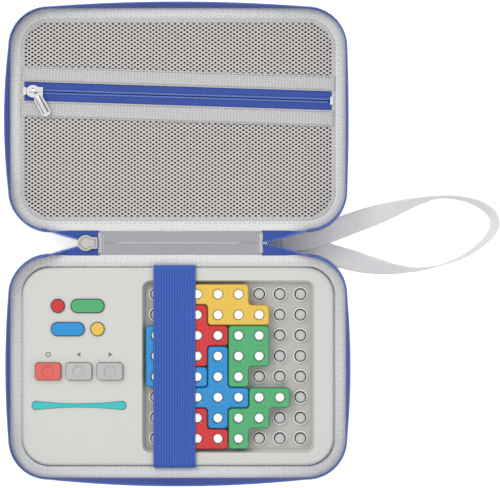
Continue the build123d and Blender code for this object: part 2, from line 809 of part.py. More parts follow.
def badge_shape(tile, grow):
    x, y, length = tile
    with Locations((badge_centre[0] + x, badge_centre[1] + y)):
        if length > badge_dot:
            SlotOverall(length + 2 * grow, badge_dot + 2 * grow)
        else:
            Circle(badge_dot / 2 + grow)


# Upper housing of the game: a shell with the sloped board well, button openings and seats
well_size = board_size + 2 * board_margin
well_depth = game_top - board_bottom
with BuildPart() as game_upper_housing:
    with BuildSketch(game_plane(game_middle + split_gap)):
        RectangleRounded(game_length, game_width, game_corner)
    extrude(amount=game_top - game_middle - split_gap)
    fillet(game_upper_housing.faces().sort_by(Axis.Z)[-1].edges(), game_top_round)
    with BuildSketch(game_plane(game_middle)):
        RectangleRounded(*housing_inner)
    extrude(amount=roof_bottom - game_middle, mode=Mode.SUBTRACT)
    with BuildSketch(game_plane(board_bottom, board_shift)):
        RectangleRounded(well_size + 2 * well_wall, well_size + 2 * well_wall, board_corner + well_wall)
    extrude(amount=roof_bottom - board_bottom)
    with BuildSketch(game_plane(board_top, board_shift)):
        RectangleRounded(well_size, well_size, board_corner)
    extrude(amount=board_depth, taper=-board_slope, mode=Mode.SUBTRACT)
    with BuildSketch(game_plane(board_bottom, board_shift)):
        RectangleRounded(well_size, well_size, board_corner)
    extrude(amount=board_thickness, mode=Mode.SUBTRACT)
    with BuildSketch(game_plane(roof_bottom)):
        with Locations(*[button_place(index) for index in (-1, 0, 1)]):
            RectangleRounded(
                button_length + 2 * button_clearance, button_width + 2 * button_clearance,
                button_corner + button_clearance)
    extrude(amount=game_wall, mode=Mode.SUBTRACT)
    with BuildSketch(game_plane(game_top - bar_seat, *bar_centre)):
        make_face(bar_outline(seat_clearance))
    extrude(amount=bar_seat, mode=Mode.SUBTRACT)
    with BuildSketch(game_plane(game_top - badge_seat)):
        for tile in badge_tiles.values():
            badge_shape(tile, seat_clearance)
    extrude(amount=badge_seat, mode=Mode.SUBTRACT)
    with BuildSketch(game_plane(game_middle + split_gap)):
        with Locations(*boss_places):
            Circle(boss_diameter / 2)
    extrude(amount=roof_bottom - game_middle - split_gap)
    with BuildSketch(game_plane(game_middle)):
        with Locations(*boss_places):
            Circle(screw_shank / 2)
    extrude(amount=roof_bottom - game_middle - 1, mode=Mode.SUBTRACT)
save(game_upper_housing, "game_upper_housing")

with BuildPart() as housing_screws:
    with BuildSketch(game_plane(game_bottom)):
        with Locations(*boss_places):
            Circle(screw_head / 2)
    extrude(amount=screw_head_height)
    with BuildSketch(game_plane(game_bottom + screw_head_height)):
        with Locations(*boss_places):
            Circle(screw_shank / 2)
    extrude(amount=game_split + 3 - screw_head_height)
save(housing_screws, "housing_screws")

with BuildPart() as light_bar:
    with BuildSketch(game_plane(game_top - bar_seat, *bar_centre)):
        make_face(bar_outline(0))
    extrude(amount=bar_seat + bar_proud)
save(light_bar, "light_bar")

for tile_name, tile in badge_tiles.items():
    with BuildPart() as badge_tile:
        with BuildSketch(game_plane(game_top - badge_seat)):
            badge_shape(tile, 0)
        extrude(amount=badge_seat + badge_proud)
        chamfer(badge_tile.faces().sort_by(Axis.Z)[-1].edges(), badge_proud / 4)
    save(badge_tile, tile_name)

# Marks over the buttons: a ring and two arrowheads
with BuildPart() as button_marks:
    with BuildSketch(game_plane(game_top)):
        with Locations((button_place(-1)[0], button_row + mark_rise)):
            Circle(mark_size / 2)
            Circle(mark_size / 3, mode=Mode.SUBTRACT)
        for index, turn in ((0, 180), (1, 0)):
            with Locations((button_place(index)[0], button_row + mark_rise)):
                RegularPolygon(mark_size / 2, 3, rotation=turn)
    extrude(amount=mark_height)
save(button_marks, "button_marks")

# Buttons: a dished cap, a flange that stops under the roof and a stem down to the switch
switch_top = circuit_top + switch_height
for button_name, index in (("button_power", -1), ("button_back", 0), ("button_next", 1)):
    place = button_place(index)
    cap_top = game_top + button_rise
    flange_top = roof_bottom - seat_clearance
    with BuildPart() as button:
        with BuildSketch(game_plane(flange_top, *place)):
            RectangleRounded(button_length, button_width, button_corner)
        extrude(amount=cap_top - flange_top)
        fillet(button.faces().sort_by(Axis.Z)[-1].edges(), button_corner / 2)
        with BuildSketch(game_plane(cap_top - dimple_depth, *place)):
            Circle(dimple_diameter / 2)
        extrude(amount=dimple_depth, taper=-board_slope, mode=Mode.SUBTRACT)
        with BuildSketch(game_plane(flange_top - button_flange_thickness, *place)):
            RectangleRounded(button_length + 2 * button_flange, button_width + 2 * button_flange, button_corner)
        extrude(amount=button_flange_thickness)
        with BuildSketch(game_plane(switch_top + button_travel + switch_gap, *place)):
            Circle(switch_size / 3)
        extrude(amount=flange_top - button_flange_thickness - switch_top - button_travel - switch_gap)
    save(button, button_name)

# Circuit board: a square under the board and a wing under the buttons
circuit_size = board_size - 2 * circuit_edge
wing_left = wing_side_inset - game_length / 2
wing_high = game_width / 2 - wing_end_inset
wing_low = bay_centre[1] + bay_width / 2 + bay_wall + wing_bay_gap
board_left = board_shift - circuit_size / 2
with BuildPart() as circuit_board:
    with BuildSketch(game_plane(circuit_bottom)):
        with Locations((board_shift, 0)):
            Rectangle(circuit_size, circuit_size)
        with Locations(((wing_left + board_left) / 2, (wing_low + wing_high) / 2)):
            Rectangle(board_left - wing_left + 1, wing_high - wing_low)
        with Locations(speaker_centre):
            Circle(speaker_diameter / 2 + 1, mode=Mode.SUBTRACT)
    extrude(amount=board_sheet)
save(circuit_board, "circuit_board")

with BuildPart() as button_switches:
    with BuildSketch(game_plane(circuit_top)):
        with Locations(*[button_place(index) for index in (-1, 0, 1)]):
            Rectangle(switch_size, switch_size)
    extrude(amount=switch_height)
save(button_switches, "button_switches")

with BuildPart() as speaker:
    with BuildSketch(game_plane(floor_top, *speaker_centre)):
        Circle(speaker_diameter / 2)
    extrude(amount=speaker_height * 0.6)
    with BuildSketch(game_plane(floor_top + speaker_height * 0.6, *speaker_centre)):
        Circle(speaker_diameter * 0.28)
    extrude(amount=speaker_height * 0.4)
save(speaker, "speaker")

# Blocks on the board, as the cells that each one covers
blocks = {
    "block_yellow": [(0, 5), (0, 4), (0, 3), (1, 4), (1, 3), (1, 2)],
    "block_red_upper": [(1, 5), (2, 5), (2, 4), (3, 5)],
    "block_green_upper": [(2, 3), (2, 2), (3, 3), (3, 2), (4, 3)],
    "block_blue": [(3, 4), (4, 4), (5, 5), (5, 4), (5, 3), (6, 4)],
    "block_blue_small": [(4, 5), (4, 6), (5, 6)],
    "block_green_lower": [(5, 2), (5, 1), (6, 3), (6, 2), (7, 3)],
    "block_red_lower": [(6, 5), (7, 5), (7, 4)],
    "block_sky": [(2, 7), (3, 7), (4, 7), (3, 6)]}
covered = [cell for cells in blocks.values() for cell in cells]
every_cell = [(row, column) for row in range(cell_count) for column in range(cell_count)]

# Board plate with a raised rim round each post hole; what repeats here has flat sides
with BuildPart() as board_plate:
    with BuildSketch(game_plane(board_bottom, board_shift)):
        RectangleRounded(
            well_size - 2 * seat_clearance, well_size - 2 * seat_clearance, board_corner - seat_clearance)
    extrude(amount=board_thickness)
    with BuildSketch(game_plane(board_top)):
        with Locations(*[cell_place(*cell) for cell in every_cell]):
            RegularPolygon(rim_diameter / 2, round_sides)
    extrude(amount=rim_height)
    with BuildSketch(game_plane(board_bottom)):
        with Locations(*[cell_place(*cell) for cell in every_cell]):
            RegularPolygon(post_hole / 2, round_sides)
    extrude(amount=board_thickness + rim_height, mode=Mode.SUBTRACT)
save(board_plate, "board_plate")


def light_posts(cells):
    with BuildPart() as posts:
        with BuildSketch(game_plane(circuit_top)):
            with Locations(*[cell_place(*cell) for cell in cells]):
                RegularPolygon(post_diameter / 2, round_sides)
        extrude(amount=post_top - circuit_top)
    return posts


save(light_posts([cell for cell in every_cell if cell in covered]), "light_posts_lit")
save(light_posts([cell for cell in every_cell if cell not in covered]), "light_posts_plain")

for block_name, cells in blocks.items():
    places = [cell_place(*cell) for cell in cells]
    with BuildPart() as block:
        with BuildSketch(game_plane(block_bottom)) as block_outline:
            with Locations(*places):
                Rectangle(cell_pitch, cell_pitch)
            offset(amount=-block_gap, kind=Kind.INTERSECTION)
            fillet(block_outline.vertices(), block_corner)
        extrude(amount=block_height)
        chamfer(block.faces().sort_by(Axis.Z)[-1].edges(), block_edge)
        with BuildSketch(game_plane(block_bottom)):
            with Locations(*places):
                RegularPolygon(block_hole / 2, round_sides)
        extrude(amount=block_height, mode=Mode.SUBTRACT)
    save(block, block_name)

# Elastic band: over the game and down between it and the lining at both ends
band_half = tray_width / 2 - lap_thickness - 0.05
band_top = band_floor + band_thickness
with BuildPart() as elastic_band:
    with BuildSketch(Plane.YZ.offset(band_shift - band_width / 2)) as band_profile:
        with Locations((base_centre, (band_drop + band_top) / 2)):
            Rectangle(2 * band_half, band_top - band_drop)
        fillet(band_profile.vertices().group_by(Axis.Y)[-1], band_bend)
        with BuildSketch(Plane.YZ.offset(band_shift - band_width / 2), mode=Mode.SUBTRACT) as band_inside:
            with Locations((base_centre, (band_drop + band_floor) / 2)):
                Rectangle(2 * (band_half - band_thickness), band_floor - band_drop)
            fillet(band_inside.vertices().group_by(Axis.Y)[-1], band_bend - band_thickness)
    extrude(amount=band_width)
save(elastic_band, "elastic_band")

# Folded tab on the lower half's hinge wall, into which both ends of the wrist strap are sewn
base_wall = -hinge_gap / 2
tab_width = hinge_gap - hinge_clearance
with BuildPart() as strap_tab:
    with BuildSketch(Plane.YZ.offset(tab_start)):
        with Locations((base_wall, tab_floor)):
            Rectangle(tab_width, tab_fold, align=(Align.MIN, Align.MIN))
            Rectangle(tab_sheet, tab_rise, align=(Align.MIN, Align.MIN))
    extrude(amount=strap_start - tab_start)
save(strap_tab, "strap_tab")


# Wrist strap: one flat webbing that lies on the floor and stands on its edge round the far bend
def strap_planes():
    planes = []
    last = len(strap_route) - 1
    for index, (x, y, lift, turn) in enumerate(strap_route):
        before = strap_route[max(index - 1, 0)]
        after = strap_route[min(index + 1, last)]
        along = Vector(after[0] - before[0], after[1] - before[1], 0).normalized()
        if index in (0, last):
            along = Vector(1 if index == 0 else -1, 0, 0)
        aside = Vector(0, 0, 1).cross(along)
        lean = math.radians(turn)
        across = aside * math.cos(lean) + Vector(0, 0, 1) * math.sin(lean)
        rest = strap_lift + strap_width / 2 * abs(math.sin(lean)) + strap_thickness / 2 * abs(math.cos(lean))
        planes.append(Plane(origin=(x, y, rest + lift), x_dir=across, z_dir=along))
    return planes


with BuildPart() as wrist_strap:
    for plane in strap_planes():
        with BuildSketch(plane):
            Rectangle(strap_width, strap_thickness)
    loft(ruled=True)
strap_reach = sum(
    (after.origin - before.origin).length for before, after in zip(strap_planes(), strap_planes()[1:]))
print("wrist strap length", round(strap_reach, 1), "volume ratio",
      round(wrist_strap.part.volume / (strap_reach * strap_width * strap_thickness), 3))
save(wrist_strap, "wrist_strap")
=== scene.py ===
import bpy
import bmesh
import math
from mathutils import Matrix, Vector


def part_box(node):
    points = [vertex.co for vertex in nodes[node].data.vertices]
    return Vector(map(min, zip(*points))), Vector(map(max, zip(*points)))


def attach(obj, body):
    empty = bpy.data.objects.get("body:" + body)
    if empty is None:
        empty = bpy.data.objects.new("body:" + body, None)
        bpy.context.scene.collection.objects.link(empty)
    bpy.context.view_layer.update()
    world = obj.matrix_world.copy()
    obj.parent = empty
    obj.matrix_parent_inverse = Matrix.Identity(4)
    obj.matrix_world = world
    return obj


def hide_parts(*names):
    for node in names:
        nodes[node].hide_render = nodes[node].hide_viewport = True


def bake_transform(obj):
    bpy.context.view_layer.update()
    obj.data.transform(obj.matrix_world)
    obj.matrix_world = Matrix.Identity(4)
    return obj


# Puzzle game carrying case, open flat. Everything is in metres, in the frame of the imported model.

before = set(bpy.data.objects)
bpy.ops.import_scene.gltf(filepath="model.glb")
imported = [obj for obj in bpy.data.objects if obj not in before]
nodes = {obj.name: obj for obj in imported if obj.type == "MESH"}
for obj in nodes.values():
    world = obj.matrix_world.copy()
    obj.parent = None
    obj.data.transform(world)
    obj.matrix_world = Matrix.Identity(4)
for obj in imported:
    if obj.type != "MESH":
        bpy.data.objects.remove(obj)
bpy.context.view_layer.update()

MM = 0.001
UP = Vector((0, 0, 1))
RIGHT = Vector((1, 0, 0))
SIDES = {"base": -1, "lid": 1}
looks = {}


# Places taken from the frame
def middle(node):
    low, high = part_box(node)
    return (low + high) / 2


shell_low, shell_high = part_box("lid_shell")
half_x = (shell_high.x - shell_low.x) / 2
half_y = (shell_high.y - shell_low.y) / 2
half_centre = (shell_high.y + shell_low.y) / 2
hinge_line = shell_low.y
foam_top = shell_high.z
rim_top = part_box("lid_binding")[1].z
tape_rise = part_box("lid_zipper_tape")[1].z - rim_top
tray_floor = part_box("lid_lining")[0].z + 0.8 * MM
corner = 24 * MM
wall = 5.8 * MM
shell_round = 9 * MM
lining_round = 3.2 * MM
tape_end = 80 * MM


# Mesh helpers
def piece(name, vertices, faces, look, body, slot_name, *replaced, uvs=None, smooth=True):
    """Mesh object on a body, from plain lists, with its look, hiding the solids it stands for; slot_name is
    not used.
    """
    mesh = bpy.data.meshes.new(name)
    mesh.from_pydata([tuple(v) for v in vertices], [], faces)
    if uvs:
        layer = mesh.uv_layers.new(name="metres")
        for corner_index, loop in enumerate(mesh.loops):
            layer.data[corner_index].uv = uvs[loop.vertex_index]
    mesh.polygons.foreach_set("use_smooth", [smooth] * len(mesh.polygons))
    mesh.materials.append(looks[look])
    mesh.update()
    made = bpy.data.objects.new(name, mesh)
    bpy.context.scene.collection.objects.link(made)
    if body:
        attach(made, body)
    if replaced:
        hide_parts(*replaced)
    return made


def ring_faces(rings, around, start=0, closed=True, wrapped=False):
    """Quads between neighbouring rings of vertices, the first ring starting at vertex start."""
    faces = []
    for ring in range(rings if wrapped else rings - 1):
        after = (ring + 1) % rings
        for index in range(around if closed else around - 1):
            beside = (index + 1) % around
            faces.append([start + ring * around + index, start + ring * around + beside,
                          start + after * around + beside, start + after * around + index])
    return faces


def skin(name, rings, look, body, slot_name, *replaced, closed=False, caps=False, wrapped=False):
    """Quads between rings of equal length; u runs along a ring and v from ring to ring."""
    around = len(rings[0])
    vertices = []
    uvs = []
    travel = 0.0
    for index, ring in enumerate(rings):
        if index:
            travel += (ring[0] - rings[index - 1][0]).length
        along = 0.0
        for place, point in enumerate(ring):
            if place:
                along += (rings[0][place] - rings[0][place - 1]).length
            vertices.append(point)
            uvs.append((along, travel))
    faces = ring_faces(len(rings), around, 0, closed, wrapped)
    if caps:
        faces.append([index * around for index in range(len(rings))])
        faces.append([index * around + around - 1 for index in reversed(range(len(rings)))])
    made = piece(name, vertices, faces, look, body, slot_name, *replaced, uvs=uvs)
    mend_normals(made)
    return made


def bar(*told):
    """Skin whose lines lie round a section, with both ends capped."""
    return skin(*told, caps=True, wrapped=True)


def mend_normals(made, last_ring=0):
    """Turns all faces outward, after closing the mesh across its last ring if its length is given."""
    sheet = bmesh.new()
    sheet.from_mesh(made.data)
    if last_ring:
        sheet.verts.ensure_lookup_table()
        sheet.faces.new(sheet.verts[len(sheet.verts) - last_ring:])
    bmesh.ops.recalc_face_normals(sheet, faces=sheet.faces)
    sheet.to_mesh(made.data)
    sheet.free()


def copies(name, unit, places, *told):
    """One mesh of many copies of a unit, each set by a matrix."""
    unit_vertices, unit_faces = unit
    vertices = []
    faces = []
    for place in places:
        start = len(vertices)
        vertices.extend(place @ v for v in unit_vertices)
        faces.extend([start + i for i in face] for face in unit_faces)
    return piece(name, vertices, faces, *told)


def rounded_unit(size, bevel):
    """Block with bevelled edges about the origin, its size and bevel in mm."""
    solid = bmesh.new()
    bmesh.ops.create_cube(solid, size=1.0)
    bmesh.ops.scale(solid, vec=[side * MM for side in size], verts=solid.verts)
    bmesh.ops.bevel(solid, geom=solid.edges[:], offset=bevel * MM, segments=2, affect="EDGES", profile=0.5)
    vertices = [v.co.copy() for v in solid.verts]
    faces = [[v.index for v in face.verts] for face in solid.faces]
    solid.free()
    return vertices, faces


def facing(point, along):
    """Matrix that puts a unit's x on along and its z near up."""
    x_axis = along.normalized()
    y_axis = UP.cross(x_axis).normalized()
    z_axis = x_axis.cross(y_axis)
    turn = Matrix((x_axis, y_axis, z_axis)).transposed().to_4x4()
    return Matrix.Translation(point) @ turn


def row(points, pitch, start):
    """Matrices for units set every pitch along a line of points."""
    places = []
    travel = 0.0
    due = start
    for before, after in zip(points, points[1:]):
        length = (after - before).length
        while length and due <= travel + length:
            point = before.lerp(after, (due - travel) / length)
            places.append(facing(point, (after - before).normalized()))
            due += pitch
        travel += length
    return places


def even_values(start, end, count):
    """Evenly spaced values from start to end, both included."""
    return [start + (end - start) * index / count for index in range(count + 1)]


def there_and_back(count, levels):
    """Pairs of level and step: 0 to count at the first level, then back to 0 at the second."""
    steps = range(count + 1)
    return [(levels[0], step) for step in steps] + [(levels[1], step) for step in reversed(steps)]


def way_at(points, index):
    """Way from the point before to the point after."""
    return points[min(index + 1, len(points) - 1)] - points[max(index - 1, 0)]


def travels(points):
    """Length along a line from its first point to each point."""
    lengths = [0.0]
    for before, after in zip(points, points[1:]):
        lengths.append(lengths[-1] + (after - before).length)
    return lengths


def ease(value):
    value = min(1.0, max(0.0, value))
    return value * value * (3 - 2 * value)


stitch_unit = rounded_unit((1.9, 0.42, 0.36), 0.15)


def stitches(name, lines, look, body, pitch, slot_name):
    places = [place for line in lines for place in row(line, pitch, pitch / 2)]
    copies(name, stitch_unit, places, look, body, slot_name)


# Outline of a half: four sides that may bow outward, joined by corner arcs
def outline(side, grow=0.0, bulges=(0.0, 0.0, 0.0), step=1.5 * MM, open_at=0.0, height=0.0):
    """Points round a half from the hinge side's right to its left, closed unless open_at is set."""
    bulge_right, bulge_far, bulge_left = bulges
    radius = corner + grow
    straight_x = half_x + grow - radius
    straight_y = half_y + grow - radius
    flat = []

    def side_run(start, end, point):
        count = max(2, round(abs(end - start) / step))
        flat.extend(point(value) for value in even_values(start, end, count)[:-1])

    def corner_run(cx, cy, first, last):
        count = max(4, round(corner * math.pi / 2 / step))
        for angle in map(math.radians, even_values(first, last, count)[:-1]):
            flat.append((cx + radius * math.cos(angle), cy + radius * math.sin(angle)))

    reach_x = half_x + grow
    reach_y = half_y + grow
    cut = math.degrees(math.asin(max(0.0, open_at - straight_x) / radius))
    if not cut:
        side_run(open_at, straight_x, lambda x: (x, -reach_y))
    corner_run(straight_x, -straight_y, cut - 90, 0)
    side_run(-straight_y, straight_y, lambda y: (reach_x + bulge_right * (1 - (y / straight_y) ** 2), y))
    corner_run(straight_x, straight_y, 0, 90)
    side_run(straight_x, -straight_x, lambda x: (x, reach_y + bulge_far * (1 - (x / straight_x) ** 2)))
    corner_run(-straight_x, straight_y, 90, 180)
    side_run(straight_y, -straight_y, lambda y: (-reach_x - bulge_left * (1 - (y / straight_y) ** 2), y))
    corner_run(-straight_x, -straight_y, 180, 270 - cut)
    if cut:
        flat.append((-open_at, -straight_y - radius * math.cos(math.radians(cut))))
    else:
        side_run(-straight_x, -open_at, lambda x: (x, -reach_y))
    return [Vector((x, side * (half_centre + y), height)) for x, y in flat]


# Materials
def tone(red, green, blue):
    """Linear colour from the usual levels of 0 to 255."""
    return tuple(((c / 255 + 0.055) / 1.055) ** 2.4 for c in (red, green, blue)) + (1.0,)


class Finish:
    """A material with one surface shader, and the steps that add its detail."""

    def __init__(self, name, colour, roughness, by_uv=False, **sockets):
        looks[name] = bpy.data.materials.new(name)
        looks[name].use_nodes = True
        self.tree = looks[name].node_tree
        self.shader = self.tree.nodes["Principled BSDF"]
        self.colour = colour
        self.shader.inputs["Base Color"].default_value = colour
        self.shader.inputs["Roughness"].default_value = roughness
        self.roughness = roughness
        for socket, value in sockets.items():
            self.shader.inputs[socket.replace("_", " ")].default_value = value
        if by_uv:
            self.place = self.make("ShaderNodeUVMap", uv_map="metres").outputs["UV"]
        else:
            self.place = self.make("ShaderNodeTexCoord").outputs["Object"]

    def make(self, kind, **values):
        made = self.tree.nodes.new(kind)
        for name, value in values.items():
            setattr(made, name, value)
        return made

    def join(self, out, into):
        self.tree.links.new(out, into)

    def noise(self, scale, detail=2.0):
        made = self.make("ShaderNodeTexNoise")
        made.inputs["Scale"].default_value = scale
        made.inputs["Detail"].default_value = detail
        self.join(self.place, made.inputs["Vector"])
        return made.outputs["Fac"]

    def waves(self, direction, pitch, distortion=0.0, start=0.0):
        """Bands that are darkest at start and every pitch from it."""
        made = self.make("ShaderNodeTexWave", bands_direction=direction)
        made.inputs["Scale"].default_value = math.pi / 10 / pitch
        made.inputs["Distortion"].default_value = distortion
        moved = self.make("ShaderNodeVectorMath", operation="SUBTRACT")
        moved.inputs[1].default_value = (start, start, 0)
        self.join(self.place, moved.inputs[0])
        self.join(moved.outputs["Vector"], made.inputs["Vector"])
        return made.outputs["Fac"]

    def upward(self):
        """How far the surface faces up, from 0 to 1."""
        parts = self.make("ShaderNodeSeparateXYZ")
        self.join(self.make("ShaderNodeTexCoord").outputs["Normal"], parts.inputs["Vector"])
        return self.combine("POWER", self.combine("MAXIMUM", parts.outputs["Z"], 0.0), 2.5)

    def combine(self, operation, first, second):
        made = self.make("ShaderNodeMath", operation=operation)
        for socket, value in zip(made.inputs, (first, second)):
            if isinstance(value, float):
                socket.default_value = value
            else:
                self.join(value, socket)
        return made.outputs[0]

    def shade(self, factor, dark, light=1.0):
        """Base colour between two levels of itself, by a factor from 0 to 1."""
        mix = self.make("ShaderNodeMix", data_type="RGBA")
        for socket, level in (("A", dark), ("B", light)):
            mix.inputs[socket].default_value = [min(1.0, c * level) for c in self.colour[:3]] + [1.0]
        self.join(factor, mix.inputs["Factor"])
        self.join(mix.outputs["Result"], self.shader.inputs["Base Color"])

    def rough(self, factor, spread):
        ramp = self.make("ShaderNodeMapRange")
        ramp.inputs["To Min"].default_value = self.roughness - spread
        ramp.inputs["To Max"].default_value = min(1.0, self.roughness + spread)
        self.join(factor, ramp.inputs["Value"])
        self.join(ramp.outputs["Result"], self.shader.inputs["Roughness"])

    def bump(self, height, distance, strength=0.6):
        made = self.make("ShaderNodeBump")
        made.inputs["Strength"].default_value = strength
        made.inputs["Distance"].default_value = distance
        self.join(height, made.inputs["Height"])
        self.join(made.outputs["Normal"], self.shader.inputs["Normal"])


SHEEN = {"Sheen_Weight": 0.15, "Sheen_Roughness": 0.5}


def woven(name, levels, warp, weft, depth, dark=0.86, by_uv=True):
    """Cloth of two crossing sets of threads, with pitches and depth in mm."""
    made = Finish(name, tone(*levels), 0.85, by_uv, **SHEEN)
    threads = made.combine("MULTIPLY", made.waves("X", warp * MM, 0.3), made.waves("Y", weft * MM, 0.3))
    speckle = made.noise(900.0, 3.0)
    # Painted shade: darker in the hollows between the threads, with a random speckle of tone
    made.shade(made.combine("MULTIPLY", made.combine("ADD", threads, 0.35), speckle), dark, 1.04)
    made.rough(speckle, 0.08)
    made.bump(made.combine("ADD", threads, made.combine("MULTIPLY", speckle, 0.5)), depth * MM)


def ribbed(name, levels, pitch, depth, dark=0.8):
    """Cloth with raised ribs across it, with pitch and depth in mm."""
    made = Finish(name, tone(*levels), 0.8, True, **SHEEN)
    ribs = made.waves("X", pitch * MM, 0.2)
    cross = made.waves("Y", 0.5 * MM, 0.4)
    speckle = made.noise(700.0, 3.0)
    # Painted shade: darker in the valleys between the ribs, with a random speckle of tone
    made.shade(made.combine("MULTIPLY", made.combine("ADD", ribs, 0.6), made.combine("ADD", speckle, 0.35)),
               dark, 1.03)
    made.rough(speckle, 0.08)
    made.bump(made.combine("ADD", ribs, made.combine("MULTIPLY", cross, 0.25)), depth * MM)


def moulded(name, levels, roughness, grain=1400.0, tone_and_shade_cloud=0.06, painted_edge_shade=0.0, **sockets):
    """Moulded plastic with a fine grain, slow patches of tone (painted shade and reflection where strong, as
    on the blocks) and, if asked, painted shade on faces turned away from up.
    """
    made = Finish(name, tone(*levels), roughness, **sockets)
    slow = made.noise(45.0, 2.0)
    fine = made.noise(grain, 2.0)
    # Painted shade: the colour darkens as the surface turns away from facing up
    if painted_edge_shade:
        # Slow patches of tone; on the blocks they are painted shade and reflection
        patchy = made.combine("ADD", made.combine("MULTIPLY", slow, 0.3), 0.8)
        made.shade(made.combine("MULTIPLY", made.upward(), patchy), 1 - painted_edge_shade, 1 + tone_and_shade_cloud / 2)
    else:
        made.shade(slow, 1 - tone_and_shade_cloud, 1 + tone_and_shade_cloud / 2)
    made.rough(fine, 0.06)
    made.bump(fine, 0.03 * MM, 0.35)


def metal(name, level, roughness):
    """Plated metal with fine scratches, its colour in linear levels."""
    made = Finish(name, (*level, 1), roughness, Metallic=1.0)
    scratches = made.noise(2500.0, 4.0)
    made.rough(scratches, 0.05)
    made.shade(made.noise(180.0), 0.93, 1.0)
    made.bump(scratches, 0.02 * MM, 0.15)


woven("shell_cloth", (176, 177, 180), 0.9, 0.9, 0.18, by_uv=False)
# The lining's dark tone is partly painted shade: it stands for the shade seen through the pocket net's holes
woven("lining_cloth", (112, 107, 104), 0.5, 0.5, 0.08, by_uv=False)
ribbed("binding_ribbon", (227, 227, 226), 1.06, 0.3, dark=0.56)
woven("tape_cloth", (58, 90, 182), 0.8, 0.7, 0.16, dark=0.56)
# The darkest blue, on the coil cores under and between the teeth, is a shaded copy of the coil plastic:
# painted shade
moulded("coil_plastic", (36, 58, 140), 0.42, grain=900.0)
moulded("coil_light", (112, 144, 222), 0.35, grain=900.0)
moulded("coil_middle", (96, 126, 204), 0.4, grain=900.0)
ribbed("panel_cloth", (161, 162, 166), 0.8, 0.2, dark=0.74)
# The seam cloth is a lighter copy of the panel cloth: a painted highlight along the seam ridge
ribbed("panel_seam_cloth", (180, 180, 184), 0.8, 0.14)
woven("webbing_cloth", (226, 225, 225), 1.9, 1.3, 0.3, dark=0.52)
woven("strap_cloth", (240, 239, 240), 0.9, 0.7, 0.2)
woven("net_cloth", (212, 207, 204), 0.5, 0.5, 0.1, by_uv=False)
woven("light_thread", (205, 205, 206), 0.4, 0.4, 0.05, by_uv=False)
woven("grey_thread", (158, 157, 158), 0.4, 0.4, 0.05, by_uv=False)
metal("chrome", (0.72, 0.72, 0.72), 0.16)
metal("dark_metal", (0.16, 0.16, 0.17), 0.3)
metal("steel", (0.60, 0.60, 0.61), 0.32)
moulded("slider_lacquer", (187, 185, 182), 0.28, Coat_Weight=0.4)
moulded("slider_dish", (150, 145, 141), 0.34, Coat_Weight=0.3)
moulded("housing_plastic", (204, 204, 200), 0.42, tone_and_shade_cloud=0.02)
moulded("inner_plastic", (52, 52, 55), 0.5)
moulded("board_plastic", (186, 184, 179), 0.5)
moulded("post_plastic", (188, 188, 187), 0.45, painted_edge_shade=0.5)
# The post rims are a much lighter copy of the board plastic: a painted highlight on their rounded tops, with
# painted shade on their turned sides
moulded("rim_plastic", (236, 236, 233), 0.42, painted_edge_shade=0.35)
moulded("lamp_side_plastic", (190, 194, 198), 0.4)
moulded("lamp_plastic", (252, 252, 252), 0.3, Emission_Color=(1, 1, 1, 1), Emission_Strength=0.6)
moulded("foot_rubber", (80, 80, 82), 0.75)
moulded("teal_plastic", (24, 184, 186), 0.22, painted_edge_shade=0.85, Coat_Weight=0.5)
moulded("painted_shade_rim", (44, 66, 74), 0.5)
moulded("mark_ink", (120, 122, 124), 0.6)
# Block and badge plastics: their strong slow patches of tone are painted shade and reflection on the uneven
# block tops
for hue, levels in (("red", (197, 28, 30)), ("green", (66, 163, 103)), ("sky", (4, 134, 198))):
    moulded(f"{hue}_plastic", levels, 0.25, tone_and_shade_cloud=0.14, painted_edge_shade=0.62, Coat_Weight=0.3)
moulded("yellow_plastic", (222, 183, 66), 0.25, tone_and_shade_cloud=0.1, painted_edge_shade=0.45, Coat_Weight=0.3)
moulded("button_red_plastic", (212, 98, 89), 0.4)
moulded("button_grey_plastic", (182, 182, 181), 0.4)
moulded("laminate", (40, 104, 66), 0.4)
moulded("cell_wrap", (60, 64, 74), 0.3)


def finish_solid(node, look, bevel):
    """Material of a solid that is shown as it is, and soft edges where it has a bevel."""
    node.data.materials.clear()
    node.data.materials.append(looks[look])
    if bevel:
        edge = node.modifiers.new("soft_edges", "BEVEL")
        edge.width = bevel * MM
        edge.segments = 3
        edge.limit_method = "ANGLE"
        edge.angle_limit = math.radians(35)
        edge.use_clamp_overlap = True
        edge.harden_normals = True


def toy_plastic(hue):
    """Look of the badges and blocks of a hue."""
    return "sky_plastic" if hue == "blue" else f"{hue}_plastic"


# Look, bevel in mm and names of the solids that are shown as they are, apart from the badges and blocks
for look, bevel, names in (
        ("slider_lacquer", 0.25, "main_slider"),
        ("chrome", 0.25, "main_pull pocket_slider"),
        ("chrome", 0.3, "pocket_pull"),
        ("chrome", 0, "pocket_end_stops"),
        ("steel", 0, "battery_contacts housing_screws"),
        ("housing_plastic", 0, "game_lower_housing game_upper_housing battery_cover"),
        ("cell_wrap", 0, "battery_cells"),
        ("foot_rubber", 0, "game_feet"),
        ("laminate", 0, "circuit_board"),
        ("inner_plastic", 0, "button_switches speaker"),
        ("mark_ink", 0, "button_marks"),
        ("teal_plastic", 0.55, "light_bar"),
        ("button_red_plastic", 0.25, "button_power"),
        ("button_grey_plastic", 0.25, "button_back button_next"),
        ("board_plastic", 0.1, "board_plate"),
        ("lamp_side_plastic", 0.2, "light_posts_lit"),
        ("post_plastic", 0.2, "light_posts_plain")):
    for name in names.split():
        finish_solid(nodes[name], look, bevel)


